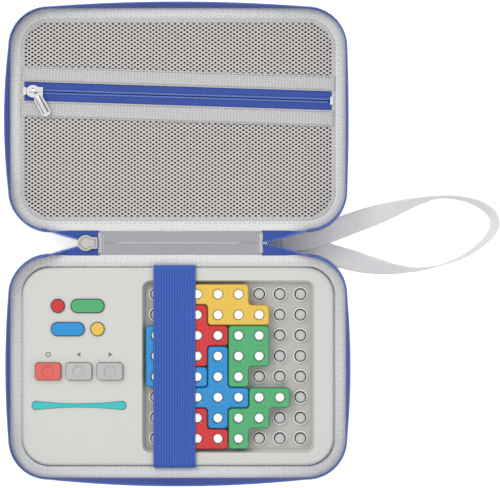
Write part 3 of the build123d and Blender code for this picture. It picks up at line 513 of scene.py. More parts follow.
# Shell, lining, binding, standing tape and teeth of each half
def tray(half, name, node, look, slot_name, inset, low, bend, steps):
    """Skin of a moulded tray: a wall down from the foam's top, rounded into a flat floor."""
    side = SIDES[half]
    rings = [outline(side, -inset, height=foam_top), outline(side, -inset, height=low + bend)]
    for index in range(1, steps + 1):
        angle = math.pi / 2 * index / steps
        rings.append(outline(side, -inset - bend * (1 - math.cos(angle)),
                             height=low + bend * (1 - math.sin(angle))))
    made = skin(f"{half}_{name}", rings, look, half, slot_name, f"{half}_{node}", closed=True)
    mend_normals(made, len(rings[-1]))


def binding(half, side):
    """Ribbed ribbon over the rim; its ends overlap near the middle of the hinge side."""
    rib_pitch = 1.06 * MM
    rib_height = 0.07 * MM
    rib_points = 4
    overlap_rise = 0.3 * MM
    overlap_ends = {"base": (-2 * MM, 11 * MM), "lid": (-9 * MM, 4.5 * MM)}[half]
    section = [
        (0.05, 19.2), (0.25, 20.1), (-0.1, 20.75), (-1.0, 21.1), (-2.6, 21.25), (-4.2, 21.15), (-5.3, 20.9)]
    if half == "base":
        section += [(-6.2, 20.6), (-6.9, 20.3), (-7.35, 20.1)]
    else:
        section += [(-6.0, 20.35), (-6.3, 19.75), (-6.45, 19.3)]
    rings = []
    for place, (grow, height) in enumerate(section):
        swell = math.sin(math.pi * place / (len(section) - 1))
        ring = outline(side, grow * MM, step=rib_pitch / rib_points, height=height * MM)
        for index, point in enumerate(ring):
            rise = rib_height * math.cos(2 * math.pi * index / rib_points) * swell
            on_hinge_side = side * point.y < hinge_line + corner / 2
            if on_hinge_side and overlap_ends[0] < point.x < overlap_ends[1]:
                rise += overlap_rise * swell
            ring[index] = point + UP * rise
        rings.append(ring)
    skin(f"{half}_binding_ribbon", rings, "binding_ribbon", half, "binding_ribbon", f"{half}_binding",
         closed=True)
    seam = outline(side, -5.0 * MM, height=20.98 * MM)
    stitches(f"{half}_binding_stitches", [seam + seam[:1]], "light_thread", half, 3.0 * MM,
             "binding_ribbon")
    if half == "lid":
        rings = [outline(side, grow * MM, height=height * MM) for grow, height in (
            (-6.2, 19.1), (-6.35, 19.5), (-6.7, 19.62), (-7.9, 19.6), (-8.5, 19.5), (-8.75, 19.05))]
        skin("lid_binding_inner_band", rings, "webbing_cloth", half, "binding_ribbon", closed=True)


# How far the standing tape bulges at its right, far and left side, and leans at its near and far side, in mm
tape_bulges = {-1: (2.25, 4.45, 1.95), 1: (1.05, 3.25, 2.85)}
tape_leans = (-1.6, -0.9)
tape_thick = 0.5 * MM
tape_lifts = (-0.9, 0.0, 0.25, 0.5, 0.75, 0.97)
tooth_pitch = 1.45 * MM
tooth_bevel = 0.22


def tape_ring(side, lift, grow, step=1.5 * MM):
    """Ring round the standing tape at a share of its rise."""
    share = max(0.0, lift)
    bulges = [bulge * MM * share for bulge in tape_bulges[side]]
    height = rim_top + tape_rise * lift
    near, far = (
        outline(side, grow + lean * MM * share, bulges, step, tape_end, height) for lean in tape_leans)
    return [a.lerp(b, ease((side * a.y - hinge_line) / corner)) for a, b in zip(near, far)]


def standing_tape(half, side):
    outer = [tape_ring(side, lift, tape_thick) for lift in tape_lifts]
    inner = [tape_ring(side, lift, 0.02 * MM) for lift in reversed(tape_lifts)]
    bar(f"{half}_tape_cloth", outer + inner, "tape_cloth", half, "zipper_fabric", f"{half}_zipper_tape")
    tooth = rounded_unit((0.85, 1.1, 1.5), tooth_bevel)
    places = row(tape_ring(side, 0.87, tape_thick + 0.1 * MM, 1.0 * MM), tooth_pitch, 0.7 * MM)
    copies(f"{half}_tape_teeth", tooth, places, "coil_middle", half, "zipper_plastic",
           f"{half}_zipper_teeth")
    core_out = tape_thick + 0.3 * MM
    core = [tape_ring(side, lift, grow) for lift, grow in (
        (0.80, tape_thick), (0.80, core_out), (0.94, core_out), (0.94, tape_thick))]
    bar(f"{half}_tape_core", core, "coil_plastic", half, "zipper_plastic")


for half, side in SIDES.items():
    tray(half, "shell_cover", "shell", "shell_cloth", "shell_fabric", 0.0, 0.0, shell_round, 7)
    tray(half, "lining_cloth", "lining", "lining_cloth", "lining_fabric", wall, tray_floor, lining_round, 5)
    binding(half, side)
    standing_tape(half, side)


# Hinge panel in two strips that meet at its middle and sink a little at their outer edges
panel_low, panel_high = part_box("hinge_inner_panel")
panel_top = rim_top
strip_steps = 12
strip_reach = 8.0
strip_ripple = 0.05 * MM


def fold(made, half):
    """Bakes a piece's transform into its mesh, the same for either half; the piece is not bent."""
    if half == "base":
        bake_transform(made)
    else:
        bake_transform(made)


for half, side in SIDES.items():
    rings = []
    for level, step in there_and_back(strip_steps, (0.0, -1.2 * MM)):
        y = side * step / strip_steps * strip_reach * MM
        sink = 0.25 * MM * max(0.0, step - 10)
        rings.append([
            Vector((x, y, panel_top + level - sink + strip_ripple * math.sin(index * 1.1)))
            for index, x in enumerate(even_values(panel_low.x, panel_high.x, 200))])
    stands_for = ["hinge_inner_panel", "hinge_outer_panel"] if half == "base" else []
    strip = bar(f"hinge_panel_{half}_strip", rings, "panel_cloth", None, "panel_fabric", *stands_for)
    fold(strip, half)

seam_steps = 120
seam_rings = []
for angle in range(0, 181, 30):
    lean = math.radians(angle)
    ring = []
    for index, x in enumerate(even_values(-38 * MM, 38 * MM, seam_steps)):
        taper = min(1.0, index / 4, (seam_steps - index) / 4)
        ring.append(Vector((
            x, 0.8 * MM * math.cos(lean) * taper, panel_top + 0.5 * MM * math.sin(lean) * taper)))
    seam_rings.append(ring)
skin("hinge_panel_seam", seam_rings, "panel_seam_cloth", "hinge_panel", "panel_fabric", caps=True)
panel_ends = []
for x in (panel_low.x + 3.0 * MM, panel_high.x - 3.0 * MM):
    panel_ends.append([Vector((x, y * MM, panel_top + 0.12 * MM)) for y in (-6, 6)])
for x in (panel_low.x + 0.9 * MM, panel_high.x - 0.9 * MM):
    skin(f"hinge_panel_hem_{'left' if x < 0 else 'right'}", [
        [Vector((x + across * MM, y * MM, panel_top + rise * MM)) for y in range(-6, 7)]
        for across, rise in ((-1.1, -0.9), (-1.1, 0.15), (-0.8, 0.35), (0.8, 0.35), (1.1, 0.05))],
        "webbing_cloth", "hinge_panel", "panel_fabric", caps=True)
stitches("hinge_panel_stitches", panel_ends, "light_thread", "hinge_panel", 2.2 * MM, "panel_fabric")


# Tape ends that lie down from the rims into the chain beside the panel
chain_plane = 20.6 * MM
chain_gap = 0.25 * MM
chain_open = 7.5 * MM
chain_steps = 60
chain_level = 0.35 * MM
chain_stand_from = 0.38
chain_outer = 80.2 * MM
chain_tooth = rounded_unit((0.8, 1.5, 1.3), tooth_bevel)


def chain_edge(meet, x):
    """Where the teeth edge of a tape end runs at x: distance from the middle, lift and share of standing."""
    run = (abs(x) - meet) / (chain_outer - meet)
    spread = chain_gap + (chain_open - chain_gap) * max(0.0, run) ** 1.15
    stand = ease((run - chain_stand_from) / (1 - chain_stand_from))
    return spread, (tape_rise - 1.2 * MM) * stand, stand


def chain_line(along, meet, side, inset):
    """Line of the teeth of a tape end, whose two tapes part where they meet."""
    points = []
    for x in along:
        spread, lift, _ = chain_edge(meet, x)
        points.append(Vector((x, side * (spread + inset), chain_plane + 0.3 * MM + lift)))
    return points


def tape_end_rings(along, meet, side, across=8):
    """Lines along a tape end, from its teeth down to its root and back on the other face."""
    rings = []
    for level, step in there_and_back(across, (chain_level, -chain_level)):
        share = step / across
        ring = []
        for x in along:
            spread, lift, stand = chain_edge(meet, x)
            top = spread + (0.3 + 0.65 * stand) * MM
            root = (7.7 - 1.05 * stand) * MM
            aside = level * stand * 0.7
            rise = (lift + 1.0 * MM * stand) * (1 - share) ** 0.8
            ring.append(Vector((
                x, side * (top + (root - top) * share - aside), chain_plane + level * (1 - stand) + rise)))
        rings.append(ring)
    return rings


for end_name, sign, inner, meet in (
        ("left", -1, panel_low.x + 0.5 * MM, 54.2 * MM), ("right", 1, panel_high.x - 0.5 * MM, 53.2 * MM)):
    along = even_values(inner, sign * chain_outer, chain_steps)
    for half, side in SIDES.items():
        first = end_name == "left" and half == "base"
        cloth = bar(f"tape_end_{end_name}_{half}", tape_end_rings(along, meet, side), "tape_cloth", None,
                    "zipper_fabric", *(["zipper_end_tapes"] if first else []))
        places = row(chain_line(along, meet, side, 0.55 * MM), tooth_pitch, 0.6 * MM)
        teeth = copies(f"tape_end_teeth_{end_name}_{half}", chain_tooth, places, "coil_middle", None,
                       "zipper_plastic", *(["zipper_end_teeth"] if first else []))
        for made in (cloth, teeth):
            fold(made, half)


# Dished face on top of the main slider
slider_low, slider_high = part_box("main_slider")
slider_middle = Vector(((slider_low.x + slider_high.x) / 2, 0, 22.8 * MM))


def slider_outline(inset, height):
    """Half outline of the slider, mirrored: narrow nose to the left, wide belly, straight tail."""
    length = (slider_high.x - slider_low.x) / 2 - inset
    belly = (slider_high.y - slider_low.y) / 2 - inset
    tail = 3.4 * MM - inset
    nose = 1.9 * MM - inset
    half_line = []
    belly_at, taper, tail_at = 0.42, 0.26, 0.68
    steps = 24
    for index in range(steps + 1):
        x = -length + 2 * length * index / steps
        run = index / steps
        if run < belly_at:
            y = nose + (belly - nose) * math.sin(math.pi / 2 * run / belly_at)
        elif run < tail_at:
            y = tail + (belly - tail) * (1 + math.cos(math.pi * (run - belly_at) / taper)) / 2
        else:
            y = tail
        half_line.append((x, y))
    points = [Vector((x, y, height)) for x, y in half_line]
    points += [Vector((x, -y, height)) for x, y in reversed(half_line)]
    return [slider_middle + point for point in points]


def drawn_in(ring, share, drop):
    """The ring drawn towards the slider's middle and moved up."""
    out = [point - slider_middle for point in ring]
    return [slider_middle + Vector((way.x * share, way.y * share, 0)) + UP * drop for way in out]


face_rings = [slider_outline(inset * MM, height * MM) for inset, height in (
    (0.05, -0.5), (0.0, 0.0), (0.15, 0.28), (0.7, 0.32), (0.95, 0.08))]
skin("main_slider_face", face_rings, "slider_lacquer", "main_slider", "slider_paint", closed=True)
dish_edge = slider_outline(0.9 * MM, 0.0)
dish_rings = [
    drawn_in(dish_edge, share, (0.1 - 0.28 * (1 - share ** 2)) * MM) for share in (1, 0.8, 0.55, 0.3, 0.02)]
skin("main_slider_dish", dish_rings, "slider_dish", "main_slider", "slider_paint", closed=True)


# Pocket net: oval holes in staggered rows, as rings of knit between shared cell edges
POCKET_SIDES = {"upper": 1, "lower": -1}
mesh_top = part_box("pocket_net_lower")[1].z
zip_tilt = math.radians(-1.8)
zip_centre = Vector((0, half_centre + 14.5 * MM, 0))
zip_along = Vector((math.cos(zip_tilt), math.sin(zip_tilt), 0))
zip_across = Vector((-math.sin(zip_tilt), math.cos(zip_tilt), 0))
tape_half = 5.75 * MM
strip_far = {"upper": tape_half + 9.4 * MM, "lower": -tape_half - 10.0 * MM}
column_pitch = 3.77 * MM
row_pitch = 1.24 * MM
hole_long = 0.84 * MM
hole_high = 0.62 * MM
hole_rings = ((1.35, 0.0), (1.05, 0.08 * MM), (0.92, 0.5 * MM))


def in_tray(x, y, trim):
    """True inside the tray's rounded outline, trimmed."""
    reach_x = half_x - wall - trim
    reach_y = half_y - wall - trim
    radius = corner - wall - trim
    over_x = abs(x) - (reach_x - radius)
    over_y = abs(y - half_centre) - (reach_y - radius)
    if over_x > radius or over_y > radius:
        return False
    return over_x < 0 or over_y < 0 or math.hypot(over_x, over_y) < radius


def net_cell():
    """Outline of a cell about its hole: a hexagon with a point at the middle of each side."""
    diagonal = (column_pitch ** 2 / 4 + row_pitch ** 2) / 2
    wide = diagonal / (column_pitch / 2)
    narrow = (diagonal - row_pitch ** 2) / (column_pitch / 2)
    rim = [(wide, 0), (narrow, row_pitch), (-narrow, row_pitch), (-wide, 0), (-narrow, -row_pitch),
           (narrow, -row_pitch)]
    cell = []
    for here, after in zip(rim, rim[1:] + rim[:1]):
        cell += [here, ((here[0] + after[0]) / 2, (here[1] + after[1]) / 2)]
    return cell


def net_piece(where, sign):
    edge = abs(strip_far[where]) - 1.2 * MM
    cell = net_cell()
    vertices = []
    faces = []
    known = {}
    columns = int(half_x / column_pitch) + 1
    rows = int(half_y / row_pitch) + 1
    for line in range(-rows, rows + 1):
        for column in range(-columns, columns + 1):
            x = column * column_pitch + (column_pitch / 2 if line % 2 else 0.0)
            y = half_centre + line * row_pitch
            above = (Vector((x, y, 0)) - zip_centre).dot(zip_across)
            if sign * above < edge or not in_tray(x, y, 0.6 * MM):
                continue
            sway = 0.25 * MM * math.sin(x * 43) * math.cos(y * 61)
            loops = [[], [], [], []]
            for dx, dy in cell:
                key = (round((x + dx) / MM * 20), round((y + dy) / MM * 20))
                if key not in known:
                    known[key] = len(vertices)
                    vertices.append(Vector((x + dx, y + dy, mesh_top - 0.28 * MM + sway)))
                loops[0].append(known[key])
                angle = math.atan2(dy, dx)
                for loop, (scale, drop) in zip(loops[1:], hole_rings):
                    loop.append(len(vertices))
                    vertices.append(Vector((
                        x + hole_long * scale * math.cos(angle), y + hole_high * scale * math.sin(angle),
                        mesh_top - drop + sway)))
            for first, second in zip(loops, loops[1:]):
                for index in range(len(cell)):
                    after = (index + 1) % len(cell)
                    faces.append((first[index], first[after], second[after], second[index]))
    piece(f"pocket_net_{where}_knit", vertices, faces, "net_cloth", "lid", "net_fabric",
          f"pocket_net_{where}")


def pocket_run(across, height, trim):
    """Line of the pocket at a distance across its zipper, from the tray's left to its right."""
    reach = half_x - wall - trim
    return [zip_centre + zip_along * along + zip_across * across + UP * height
            for along in even_values(-reach, reach, 96)]


def pocket_ribbon(node, ending, look, slot_name, edges, bottom, top, trim, edge_lift):
    """Flat ribbon along the pocket zipper, with softly rounded long edges."""
    soft = 0.25 * MM
    border = 1.4 * MM
    border_end = 1.8 * MM
    low, high = sorted(edges)
    section = [
        (low, bottom), (low, top - soft), (low + soft, top + edge_lift), (low + border, top + edge_lift),
        (low + border_end, top), ((low + high) / 2, top + 0.08 * MM), (high - border_end, top),
        (high - border, top + edge_lift), (high - soft, top + edge_lift), (high, top - soft),
        (high, bottom)]
    rings = [pocket_run(across, height, trim) for across, height in section]
    bar(f"{node}_{ending}", rings, look, "lid", slot_name, node)


for where, sign in POCKET_SIDES.items():
    net_piece(where, sign)
strip_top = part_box("pocket_strip_upper")[1].z
for where, sign in POCKET_SIDES.items():
    pocket_ribbon(f"pocket_strip_{where}", "webbing", "webbing_cloth", "webbing",
                  (sign * tape_half, strip_far[where]), mesh_top - 0.1 * MM, strip_top, 1.0 * MM, 0.12 * MM)
for where, sign in POCKET_SIDES.items():
    edges = (sign * 0.3 * MM, sign * (tape_half + 0.8 * MM))
    pocket_ribbon(f"pocket_tape_{where}", "cloth", "tape_cloth", "zipper_fabric", edges,
                  mesh_top - 0.5 * MM, mesh_top, 0.2 * MM, 0.0)
strip_lines = []
for where, sign in POCKET_SIDES.items():
    for across in (sign * (tape_half + 1.0 * MM), strip_far[where] - sign * 1.0 * MM):
        strip_lines.append(pocket_run(across, strip_top + 0.16 * MM, 4 * MM))
stitches("pocket_strip_stitches", strip_lines, "grey_thread", "lid", 2.4 * MM, "webbing")

# Coil of the pocket: two rows of teeth over a flat core
coil_trim = 5 * MM
coil_tooth = rounded_unit((0.62, 1.15, 0.55), 0.2)
coil_places = []
for sign, start in ((1, 0.2 * MM), (-1, 0.72 * MM)):
    coil_places += row(pocket_run(sign * 0.85 * MM, mesh_top + 0.16 * MM, coil_trim), 1.04 * MM, start)
copies("pocket_coil_teeth", coil_tooth, coil_places, "coil_light", "lid", "zipper_plastic", "pocket_coil")
for where, sign in POCKET_SIDES.items():
    core = [pocket_run(sign * across * MM, mesh_top + height * MM, coil_trim) for across, height in (
        (0.35, -0.1), (0.35, 0.2), (1.55, 0.22), (1.7, -0.1))]
    bar(f"pocket_coil_core_{where}", core, "coil_plastic", "lid", "zipper_plastic")


# Dark rims round the light bar and the badges: painted shade at their edges
def dark_rim(node, slot_name):
    """The node's own shape a little wider and lower, so that its border shows dark from above as painted
    shade.
    """
    grow = 0.32 * MM
    drop = 0.2 * MM
    low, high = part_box(node)
    centre = middle(node)
    source = nodes[node]
    stretch = Vector((1 + 2 * grow / (high.x - low.x), 1 + 2 * grow / (high.y - low.y), 1))
    vertices = []
    for vertex in source.data.vertices:
        point = source.matrix_world @ vertex.co - centre
        vertices.append(centre + Vector(point[axis] * stretch[axis] for axis in range(3)) - UP * drop)
    faces = [list(face.vertices) for face in source.data.polygons]
    piece(f"{node}_rim", vertices, faces, "painted_shade_rim", "base", slot_name, smooth=False)


dark_rim("light_bar", "bar_teal")
for hue in ("red", "green", "blue", "yellow"):
    finish_solid(nodes[f"badge_{hue}"], toy_plastic(hue), 0.4)
    dark_rim(f"badge_{hue}", "mark_ink")


# Painted shade in the long grooves and a painted darker reflection on a flat of the pocket slider's pull, as
# thin strips: place across it, width and finish
pull_pivot = Vector((-86.96 * MM, 91.98 * MM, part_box("pocket_pull")[1].z))
pull_along = Vector((0.4848, -0.8746, 0))
pull_across = UP.cross(pull_along)
for name, across, width, look in (
        ("groove_left", 1.35, 0.5, "dark_metal"), ("flat", 0.6, 0.8, "steel"),
        ("groove_right", -1.6, 0.3, "dark_metal")):
    strip_unit = rounded_unit((11.5, width, 0.14), 0.05)
    place = facing(pull_pivot + pull_along * 9.6 * MM + pull_across * (across * MM), pull_along)
    copies(f"pocket_pull_{name}", strip_unit, [place], look, "pocket_pull", "bright_metal")


# Round rims and caps over the board's flat-sided ones, and the swelling tops of the blocks
blocks = {
    "yellow": [(0, 5), (0, 4), (0, 3), (1, 4), (1, 3), (1, 2)],
    "red_upper": [(1, 5), (2, 5), (2, 4), (3, 5)],
    "green_upper": [(2, 3), (2, 2), (3, 3), (3, 2), (4, 3)],
    "blue": [(3, 4), (4, 4), (5, 5), (5, 4), (5, 3), (6, 4)],
    "blue_small": [(4, 5), (4, 6), (5, 6)],
    "green_lower": [(5, 2), (5, 1), (6, 3), (6, 2), (7, 3)],
    "red_lower": [(6, 5), (7, 5), (7, 4)],
    "sky": [(2, 7), (3, 7), (4, 7), (3, 6)]}
covered = [place for places in blocks.values() for place in places]
free_cells = [(line, column) for line in range(8) for column in range(8) if (line, column) not in covered]
cell = 12.5 * MM
board_middle = middle("board_plate")
board_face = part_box("board_plate")[1].z - 0.8 * MM
post_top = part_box("light_posts_lit")[1].z
block_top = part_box("block_yellow")[1].z
turned_sides = 40


def cell_place(line, column, height):
    return Vector((board_middle.x + (3.5 - column) * cell, board_middle.y + (3.5 - line) * cell, height))


def turned(section):
    """Unit turned about the z axis from radii and heights in mm."""
    vertices = []
    for radius, height in section:
        for index in range(turned_sides):
            angle = 2 * math.pi * index / turned_sides
            vertices.append(Vector((radius * math.cos(angle), radius * math.sin(angle), height)) * MM)
    return vertices, ring_faces(len(section), turned_sides)


rim_section = [(4.55, 0.0), (4.52, 0.6), (4.35, 0.85), (4.0, 0.95), (3.7, 0.85), (3.52, 0.6), (3.5, -1.5)]
plain_cap_section = [(2.96, -2.0), (2.96, -0.25), (2.7, 0.02), (1.6, 0.1), (0.02, 0.12)]
lit_cap_section = [(2.6, -0.3), (2.6, 0.02), (2.4, 0.16), (1.4, 0.24), (0.02, 0.26)]
for name, section, places, height, look, slot_name in (
        ("board_rims", rim_section, free_cells, board_face, "rim_plastic", "board_plastic"),
        ("plain_post_caps", plain_cap_section, free_cells, post_top, "post_plastic", "post_grey"),
        ("lit_post_caps", lit_cap_section, covered, post_top, "lamp_plastic", "post_lit")):
    matrices = [Matrix.Translation(cell_place(*place, height)) for place in places]
    copies(name, turned(section), matrices, look, "base", slot_name)


def block_swells(name, places):
    """Swelling top over each cell of a block: high round the post hole, low at the cell's edges."""
    steps = (0.0, 0.12, 0.3, 0.55, 0.8, 0.93, 1.0)
    hole = 3.04 * MM
    joint_gap = 0.6 * MM
    corner_reach = 7.2 * MM
    vertices = []
    faces = []
    for line, column in places:
        centre = cell_place(line, column, block_top)
        swell = 0.12 * MM if column >= 5 else 0.18 * MM
        beside = {
            "right": (line, column - 1) in places, "left": (line, column + 1) in places,
            "up": (line - 1, column) in places, "down": (line + 1, column) in places}
        reach = {key: cell / 2 if joined else cell / 2 - joint_gap for key, joined in beside.items()}
        faces += ring_faces(len(steps), turned_sides, len(vertices))
        for share in steps:
            height = 0.03 * MM + swell * math.sin(math.pi * min(1.0, 0.25 + share * 0.75)) ** 0.8
            height = {0.0: -0.6 * MM, 1.0: -0.02 * MM}.get(share, height)
            for index in range(turned_sides):
                angle = 2 * math.pi * (index + 0.5) / turned_sides
                c, s = math.cos(angle), math.sin(angle)
                toward_x = "right" if c > 0 else "left"
                toward_y = "up" if s > 0 else "down"
                edge = min(reach[toward_x] / max(abs(c), 1e-6), reach[toward_y] / max(abs(s), 1e-6))
                if not (beside[toward_x] or beside[toward_y]):
                    edge = min(edge, corner_reach)
                radius = hole + (edge - hole) * share
                vertices.append(centre + Vector((radius * c, radius * s, height)))
    body = f"block_{name}" if name.startswith("green") else "base"
    hue = name.split("_")[0]
    mend_normals(piece(f"block_{name}_swells", vertices, faces, toy_plastic(hue), body, f"plastic_{hue}"))
    finish_solid(nodes[f"block_{name}"], toy_plastic(hue), 0.3)


for name, places in blocks.items():
    block_swells(name, places)


# Elastic band: a sheet with lengthwise ribs, over the game and down both sides
band_low, band_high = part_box("elastic_band")
band_ribs = 16
band_columns = band_ribs * 6
band_bend = 3.0 * MM
rib_base = 0.2 * MM
rib_height = 0.32 * MM
edge_share = 0.04


def band_path():
    """Middle line of the band: up the near side, over the game and down the far side."""
    half_thick = 0.5 * MM
    side_steps, bend_steps, top_steps = 6, 8, 60
    low_y, high_y = band_low.y + half_thick, band_high.y - half_thick
    top = band_high.z - half_thick
    bend = band_bend - half_thick

    def bend_run(centre_y, first):
        points = []
        for index in range(1, bend_steps):
            angle = first - math.pi / 2 * index / bend_steps
            points.append(Vector((
                0, centre_y + bend * math.cos(angle), top - bend + bend * math.sin(angle))))
        return points

    points = [Vector((0, low_y, z)) for z in even_values(band_low.z, top - bend, side_steps)]
    points += bend_run(low_y + bend, math.pi)
    for index in range(top_steps + 1):
        points.append(Vector((0, low_y + bend + (high_y - low_y - 2 * bend) * index / top_steps, top)))
    points += bend_run(high_y - bend, math.pi / 2)
    points += [Vector((0, high_y, z)) for z in even_values(top - bend, band_low.z, side_steps)]
    return points


def band_finish():
    made = Finish("band_cloth", tone(52, 95, 190), 0.75, **SHEEN)
    ribs = made.waves("X", (band_high.x - band_low.x) / band_ribs, 0.0, band_low.x)
    speckle = made.noise(800.0, 3.0)
    weft = made.waves("Y", 0.9 * MM, 0.3)
    uneven = made.combine("ADD", speckle, 0.45)
    # Painted shade: darker in the valleys between the ribs, with a random speckle of tone
    made.shade(made.combine("MULTIPLY", made.combine("POWER", ribs, 0.6), uneven), 0.5, 1.06)
    made.rough(speckle, 0.08)
    made.bump(made.combine("ADD", weft, speckle), 0.1 * MM)


band_finish()
path = band_path()
outward = [RIGHT.cross(way_at(path, index).normalized()) for index in range(len(path))]
band_rings = []
for face_side, column in there_and_back(band_columns, (1, -1)):
    share = column / band_columns
    x = band_low.x + (band_high.x - band_low.x) * share
    edge_fall = rib_base * max(0.0, abs(share - 0.5) * 2 - (1 - edge_share)) / edge_share
    rib = rib_base + rib_height * abs(math.sin(math.pi * share * band_ribs)) ** 0.7 - edge_fall
    depth = rib if face_side == 1 else -0.4 * MM
    band_rings.append([point + Vector((x, 0, 0)) + away * depth for point, away in zip(path, outward)])
bar("elastic_band_cloth", band_rings, "band_cloth", "base", "band_elastic", "elastic_band")


# Tab that holds the strap: a folded webbing on the lower half's hinge wall
tab_low, tab_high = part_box("strap_tab")
tab_points = [Vector((0, tab_low.y + 0.6 * MM, tab_high.z))]
for edge, y, z in (
        (tab_low.y, 0.6, 4), (tab_low.y, 0.9, 1.6), (tab_low.y, 2.2, 0.7), (tab_high.y, -1.6, 0.6),
        (tab_high.y, -0.8, 1.4), (tab_high.y, -1.6, 2.2), (tab_low.y, 2.4, 2.2)):
    tab_points.append(Vector((0, edge + y * MM, tab_low.z + z * MM)))
tab_rings = []
for level, index in there_and_back(len(tab_points) - 1, (1, -1)):
    aside = RIGHT.cross(way_at(tab_points, index).normalized())
    centre = tab_points[index] + aside * (level * 0.5 * MM)
    tab_rings.append([Vector((x, centre.y, centre.z)) for x in even_values(tab_low.x, tab_high.x, 8)])
bar("strap_tab_webbing", tab_rings, "strap_cloth", "base", "strap_webbing", "strap_tab")


# Wrist strap: route of its middle line, lift off the floor and turn of the webbing, as in the construction
strap_width = 13.0 * MM
strap_thick = 1.0 * MM
strap_lift = 0.1 * MM
strap_route = [
    (0.062, 0.0, 0.004, 0), (0.071, 0.0008, 0.0026, 0), (0.081, 0.0022, 0.00115, 0),
    (0.091, 0.0062, 0.00115, 0), (0.104, 0.0113, 0.0002, 8), (0.118, 0.0162, 0, 22),
    (0.132, 0.021, 0, 44), (0.1464, 0.0256, 0, 68), (0.1601, 0.0288, 0, 86), (0.1732, 0.0278, 0, 82),
    (0.184, 0.0246, 0, 76), (0.1926, 0.0186, 0, 72), (0.1947, 0.011, 0, 72), (0.1905, 0.0036, 0, 76),
    (0.181, -0.0048, 0, 82), (0.169, -0.0112, 0, 88), (0.155, -0.0152, 0, 94), (0.1423, -0.0166, 0, 104),
    (0.129, -0.0158, 0, 124), (0.116, -0.0132, 0, 148), (0.104, -0.01, 0, 168), (0.091, -0.0066, 0, 180),
    (0.081, -0.0028, 0, 180), (0.071, -0.001, 0.0012, 180), (0.062, 0.0, 0.0028, 180)]


def strap_rest(turn):
    lean = math.radians(turn)
    return strap_lift + strap_width / 2 * abs(math.sin(lean)) + strap_thick / 2 * abs(math.cos(lean))


def strap_line():
    """Points along the smooth line through the route."""
    curve = bpy.data.curves.new("strap_line", "CURVE")
    curve.dimensions = "3D"
    spline = curve.splines.new("NURBS")
    spline.points.add(len(strap_route) - 1)
    for point, (x, y, lift, turn) in zip(spline.points, strap_route):
        point.co = (x, y, strap_rest(turn) + lift, 1)
    spline.order_u = 3
    spline.use_endpoint_u = True
    spline.resolution_u = 8
    holder = bpy.data.objects.new("strap_line", curve)
    bpy.context.scene.collection.objects.link(holder)
    bpy.context.view_layer.update()
    mesh = bpy.data.meshes.new_from_object(holder)
    points = [vertex.co.copy() for vertex in mesh.vertices]
    bpy.data.meshes.remove(mesh)
    bpy.data.objects.remove(holder)
    return points


line = strap_line()
route_travels = travels([Vector((x, y, strap_rest(turn) + lift)) for x, y, lift, turn in strap_route])


def turn_at(share):
    """Turn of the webbing at a share of the strap's length."""
    due = share * route_travels[-1]
    for index in range(1, len(route_travels)):
        before, after = route_travels[index - 1:index + 1]
        if due <= after:
            turn = strap_route[index - 1][3]
            return turn + (strap_route[index][3] - turn) * ((due - before) / (after - before))
    return strap_route[-1][3]


lengths = travels(line)
strap_length = lengths[-1]
strap_section = []
for share in even_values(-1, 1, 12):
    selvedge = 0.12 if abs(share) > 0.8 else 0.0
    strap_section.append((share * strap_width / 2, (0.42 + selvedge) * MM if abs(share) < 1 else 0.25 * MM))
strap_section += [(across, -rise) for across, rise in reversed(strap_section)]
strap_rings = [[] for _ in strap_section]
for index, point in enumerate(line):
    along = way_at(line, index)
    along.z = 0
    aside = UP.cross(along.normalized())
    lean = math.radians(turn_at(lengths[index] / strap_length))
    across = aside * math.cos(lean) + UP * math.sin(lean)
    face = UP * math.cos(lean) - aside * math.sin(lean)
    centre = Vector((point.x, point.y, max(point.z, strap_rest(math.degrees(lean)))))
    for ring, (reach, rise) in zip(strap_rings, strap_section):
        ring.append(centre + across * reach + face * rise)
strap = bar("wrist_strap_webbing", strap_rings, "strap_cloth", "base", "strap_webbing", "wrist_strap")


# Floor, light and camera
def floor_finish():
    """Pale floor that keeps the shadow and shows white behind the object."""
    made = Finish("floor_finish", (0.9, 0.9, 0.9, 1), 0.9)
    rays = made.make("ShaderNodeLightPath")
    seen = made.combine("MAXIMUM", rays.outputs["Is Camera Ray"], rays.outputs["Is Glossy Ray"])
    seen = made.combine("MAXIMUM", seen, rays.outputs["Is Transmission Ray"])
    made.shader.inputs["Emission Color"].default_value = (1, 1, 1, 1)
    made.join(made.combine("MULTIPLY", seen, 0.62), made.shader.inputs["Emission Strength"])


floor_finish()
reach = 3.0
floor_corners = [(-reach, -reach, 0), (reach, -reach, 0), (reach, reach, 0), (-reach, reach, 0)]
floor = piece("floor", floor_corners, [(0, 1, 2, 3)], "floor_finish", None, None)
floor.location.z = -0.02 * MM

world = bpy.data.worlds.new("studio")
world.use_nodes = True
sky = world.node_tree.nodes["Background"]
sky.inputs["Color"].default_value = (1.0, 1.0, 1.0, 1)
bpy.context.scene.world = world


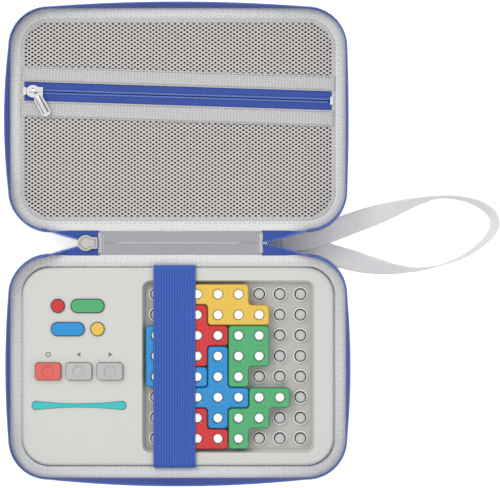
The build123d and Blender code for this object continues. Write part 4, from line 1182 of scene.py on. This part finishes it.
def sky_levels():
    """Even light for surfaces; for reflections, bright overhead and darker towards the horizon."""
    even_light = 0.85
    tree = world.node_tree
    seen = tree.nodes.new("ShaderNodeTexCoord")
    parts = tree.nodes.new("ShaderNodeSeparateXYZ")
    tree.links.new(seen.outputs["Generated"], parts.inputs["Vector"])
    ramp = tree.nodes.new("ShaderNodeMapRange")
    ramp.interpolation_type = "SMOOTHSTEP"
    for socket, value in {"From Min": 0.35, "From Max": 0.95, "To Min": 0.22, "To Max": 1.1}.items():
        ramp.inputs[socket].default_value = value
    tree.links.new(parts.outputs["Z"], ramp.inputs["Value"])
    rays = tree.nodes.new("ShaderNodeLightPath")
    mix = tree.nodes.new("ShaderNodeMix")
    mix.inputs["A"].default_value = even_light
    tree.links.new(rays.outputs["Is Glossy Ray"], mix.inputs["Factor"])
    tree.links.new(ramp.outputs["Result"], mix.inputs["B"])
    tree.links.new(mix.outputs["Result"], sky.inputs["Strength"])


sky_levels()


def soft_lamp(name, place, target, size, power):
    data = bpy.data.lights.new(name, "AREA")
    data.shape = "SQUARE"
    data.size = size
    data.energy = power
    made = bpy.data.objects.new(name, data)
    made.location = place
    made.rotation_euler = (Vector(target) - Vector(place)).to_track_quat("-Z", "Y").to_euler()
    bpy.context.scene.collection.objects.link(made)


soft_lamp("key_lamp", (-0.75, 0.75, 1.1), (0.03, 0, 0), 0.7, 7.0)
soft_lamp("fill_lamp", (0.8, -0.5, 1.2), (0.03, 0, 0), 1.0, 2.0)

image_width = 500
metres_per_pixel = 0.606 * MM
sensor_width = 36.0
camera_height = 1.15
view_middle = Vector((43.6 * MM, -0.6 * MM, rim_top))
camera_data = bpy.data.cameras.new("photo_camera")
camera_data.sensor_width = sensor_width
camera_data.lens = sensor_width * (camera_height - rim_top) / (image_width * metres_per_pixel)
camera = bpy.data.objects.new("photo_camera", camera_data)
camera.location = (view_middle.x, view_middle.y, camera_height)
camera.rotation_euler = (0, 0, 0)
bpy.context.scene.collection.objects.link(camera)
bpy.context.scene.camera = camera
bpy.context.scene.view_settings.view_transform = "Standard"
